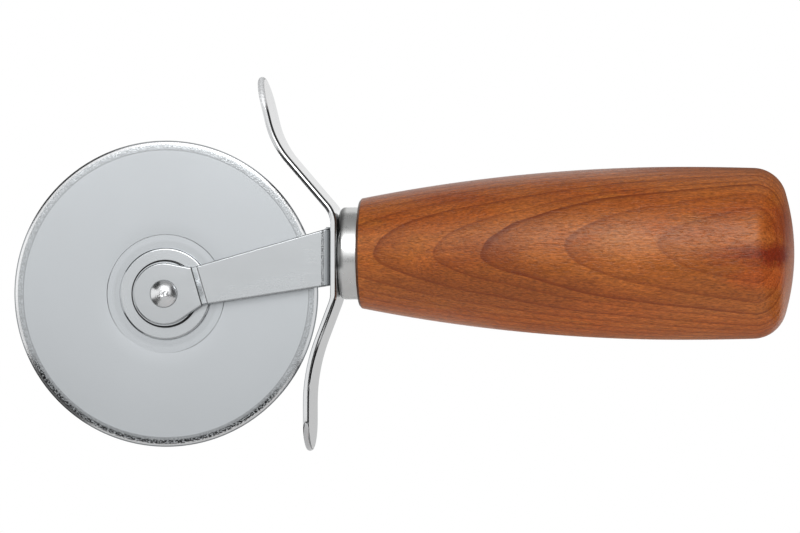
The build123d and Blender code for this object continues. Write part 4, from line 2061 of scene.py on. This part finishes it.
@dataclass(frozen=True)
class Panel:
    """A lamp or a card of the studio, square to the line from it to a point, in metres.

    The level is a lamp's power in watts, or a card's shade from 0 to 1.
    """

    name: str
    place: Place
    faces: Place
    width: float
    height: float
    level: float

    def aim(self, hung: Object, front: str) -> None:
        """Puts an object at the panel's place and turns its front to the point."""
        hung.location = self.place
        hung.rotation_euler = (Vector(self.faces) - Vector(self.place)).to_track_quat(front, "Y").to_euler()


@dataclass
class Studio:
    """White studio: camera, world, lamps, floor and the cards that draw dark lines in polished steel.

    Of the lamps only the softbox shows in reflections, and the cards show nowhere else.
    """

    azimuth: float = 4.8
    camera_distance: float = 1.1
    target: Place = (-0.0402, 0.0, -0.00298)
    sensor: float = 36.0
    lens: float = 217.4
    clip_end: float = 20.0
    world_fill: float = 0.46
    key_power: float = 16.8
    key_width: float = 1.2
    key_height: float = 1.0
    key_azimuth: float = 2.0
    key_elevation: float = 25.5
    key_distance: float = 2.1
    floor_drop: float = 0.090
    floor_size: float = 24.0
    floor_near: float = 0.14
    floor_far: float = 0.33
    floor_tone: Colour = (0.86, 0.86, 0.86, 1.0)

    fills: tuple[Panel, ...] = (
        Panel("front_fill", (0.178, -1.027, 0.006), (-0.04, 0.0, -0.003), 1.0, 0.16, 2.4),
        Panel("bounce_fill", (0.01, -0.01, -0.086), (0.01, -0.01, 0.0), 0.24, 0.10, 0.047),
        Panel("side_fill", (0.30, 0.06, 0.06), (0.05, 0.0, 0.0), 0.20, 0.20, 0.26),
    )
    flags: tuple[Panel, ...] = (
        Panel("flag_right", (0.32, -0.11, 0.21), (0.0, -0.11, 0.21), 0.72, 0.58, 0.035),
        Panel("flag_left_strip", (-0.215, -0.28, -0.073), (-0.215, -0.28, 1.0), 0.09, 0.36, 0.01),
        Panel("flag_left_gap", (-0.20, -0.06, -0.0735), (-0.20, -0.06, 1.0), 0.12, 0.08, 0.12),
        Panel("flag_low_left", (-0.20, 0.145, -0.074), (-0.20, 0.145, 1.0), 0.12, 0.33, 0.01),
        Panel("flag_high_left", (-0.36, 0.06, 0.26), (-0.07, 0.06, 0.0), 0.68, 0.28, 0.01),
        Panel("flag_front_left", (-0.3975, -0.385, -0.074), (-0.3975, -0.385, 1.0), 0.645, 0.43, 0.68),
        Panel("flag_front_right", (0.3025, -0.385, -0.074), (0.3025, -0.385, 1.0), 0.755, 0.43, 0.06),
        Panel("flag_top", (-0.02, 0.0, 0.46), (-0.02, 0.0, 0.0), 1.0, 0.60, 0.32),
        Panel("flag_behind_low", (-0.02, 0.36, -0.024), (-0.02, 0.0, -0.024), 0.5, 0.09, 0.60),
        Panel("flag_low_right", (0.21, 0.0, -0.085), (0.21, 0.0, 1.0), 0.22, 0.40, 0.01),
        Panel("flag_under_wood", (0.0275, 0.17, -0.080), (0.0275, 0.17, 1.0), 0.125, 0.34, 0.25),
        Panel("flag_behind_high", (-0.14, 0.36, 0.17), (-0.14, 0.0, 0.17), 0.28, 0.26, 0.86),
        Panel("flag_behind_wood", (0.375, 0.36, 0.21), (0.375, 0.0, 0.21), 0.75, 0.52, 0.15),
    )

    def build(self) -> None:
        """Builds the studio."""
        self.build_camera()
        self.build_world()
        self.hang_lamp(self.softbox())
        for fill in self.fills:
            self.hang_lamp(fill).visible_glossy = False
        self.build_floor()
        for flag in self.flags:
            self.hang_card(flag)

    @staticmethod
    def around(azimuth: float, elevation: float, distance: float) -> Vector:
        """Works out where something stands round the object.

        Args:
            azimuth: Degrees from the near side towards the handle's end.
            elevation: Degrees above level.
            distance: Distance from the object.

        Returns:
            The offset from the object.
        """
        turn = math.radians(azimuth)
        rise = math.radians(elevation)
        level = math.cos(rise)
        return distance * Vector((math.sin(turn) * level, -math.cos(turn) * level, math.sin(rise)))

    def build_camera(self) -> None:
        """Sets the camera at the photograph's viewing angle."""
        data = bpy.data.cameras.new("camera")
        data.sensor_width = self.sensor
        data.lens = self.lens
        data.clip_end = self.clip_end
        camera = bpy.data.objects.new("camera", data)
        bpy.context.scene.collection.objects.link(camera)
        offset = self.around(self.azimuth, 0.0, self.camera_distance)
        camera.location = Vector(self.target) + offset
        camera.rotation_euler = (-offset).to_track_quat("-Z", "Y").to_euler()
        bpy.context.scene.camera = camera

    def glow(self, graph: Graph) -> NodeSocket:
        """Adds the backdrop's strength: full to the camera and in reflections, softer as light.

        Args:
            graph: The graph of the world or of a material.

        Returns:
            The strength.
        """
        path = graph.node("ShaderNodeLightPath").outputs
        either = graph.math("MAXIMUM", path["Is Camera Ray"], path["Is Glossy Ray"])
        seen = graph.math("MAXIMUM", either, path["Is Transmission Ray"])
        return graph.spread(seen, self.world_fill, 1.0)

    def build_world(self) -> None:
        """Makes the world white to the camera and in reflections, with a softer fill light."""
        world = bpy.data.worlds.new("white_studio")
        world.use_nodes = True
        graph = Graph(world.node_tree)
        background = world.node_tree.nodes["Background"]
        background.inputs["Color"].default_value = WHITE
        graph.feed(background.inputs["Strength"], self.glow(graph))
        bpy.context.scene.world = world
        bpy.context.scene.view_settings.view_transform = "Standard"

    def softbox(self) -> Panel:
        """Works out the large lamp above the camera.

        Returns:
            The lamp's panel.
        """
        offset = self.around(self.key_azimuth, self.key_elevation, self.key_distance)
        place = tuple(Vector(self.target) + offset)
        return Panel("softbox", place, self.target, self.key_width, self.key_height, self.key_power)

    @staticmethod
    def hang_lamp(panel: Panel) -> Object:
        """Hangs an area lamp that the camera doesn't see.

        Args:
            panel: The lamp's place, size and power.

        Returns:
            The lamp's object.
        """
        lamp = bpy.data.lights.new(panel.name, "AREA")
        lamp.shape = "RECTANGLE"
        lamp.size = panel.width
        lamp.size_y = panel.height
        lamp.energy = panel.level
        hung = bpy.data.objects.new(panel.name, lamp)
        bpy.context.scene.collection.objects.link(hung)
        panel.aim(hung, "-Z")
        hung.visible_camera = False
        return hung

    @staticmethod
    def lay_sheet(name: str, width: float, height: float, material: Material) -> Object:
        """Lays a flat sheet of the stage at the origin, facing up.

        Args:
            name: Name of the sheet.
            width: Its size along X.
            height: Its size along Y.
            material: Its finish.

        Returns:
            The sheet's object.
        """
        mesh = bmesh.new()
        bmesh.ops.create_grid(mesh, x_segments=1, y_segments=1, size=0.5)
        bmesh.ops.scale(mesh, vec=(width, height, 1), verts=mesh.verts[:])
        data = bpy.data.meshes.new(name)
        mesh.to_mesh(data)
        mesh.free()
        data.materials.append(material)
        sheet = bpy.data.objects.new(name, data)
        bpy.context.scene.collection.objects.link(sheet)
        return sheet

    def build_floor(self) -> None:
        """Lays the floor: pale near the object, where it takes the shadow, and white further out."""
        floor = self.lay_sheet("floor", self.floor_size, self.floor_size, self.floor_material())
        floor.location.z = -self.floor_drop

    def floor_material(self) -> Material:
        """Builds the floor's material.

        Returns:
            The material.
        """
        material, graph, surface = bare_material("studio_floor")
        place = graph.node("ShaderNodeTexCoord").outputs["Object"]
        level = graph.placed(place, -Vector(self.target), ORIGIN, Vector((1, 1, 0)))
        fade = graph.ease(graph.length(level), self.floor_near, self.floor_far)
        white = graph.node("ShaderNodeEmission", {"Color": WHITE, "Strength": self.glow(graph)})
        pale = graph.node("ShaderNodeBsdfDiffuse", {"Color": self.floor_tone})
        mixed = graph.node("ShaderNodeMixShader", {0: fade, 1: pale.outputs[0], 2: white.outputs[0]})
        graph.feed(surface, mixed.outputs[0])
        return material

    def hang_card(self, panel: Panel) -> None:
        """Hangs a card that faces the object and shows only in reflections.

        Args:
            panel: The card's place, size and shade.
        """
        material, graph, surface = bare_material(panel.name)
        shade = graph.node("ShaderNodeEmission", {"Color": WHITE, "Strength": panel.level})
        graph.feed(surface, shade.outputs[0])
        card = self.lay_sheet(panel.name, panel.width, panel.height, material)
        panel.aim(card, "Z")
        card.visible_camera = False
        card.visible_diffuse = False
        card.visible_shadow = False
        card.visible_transmission = False


def main() -> None:
    """Builds the pizza wheel and its studio."""
    logging.basicConfig(level=logging.INFO, format="%(relativeCreated)7d ms %(message)s")
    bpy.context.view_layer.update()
    axle = middle_of("blade")
    wheel_sizes = WheelSizes()
    finishes = Finishes(axle, wheel_sizes)
    Grip(finishes).build()
    Guard(finishes).build()
    Fork(finishes, axle).build()
    Axle(finishes, axle).build()
    Wheel(finishes, axle, wheel_sizes).build()
    Studio().build()


if __name__ == "__main__":
    main()
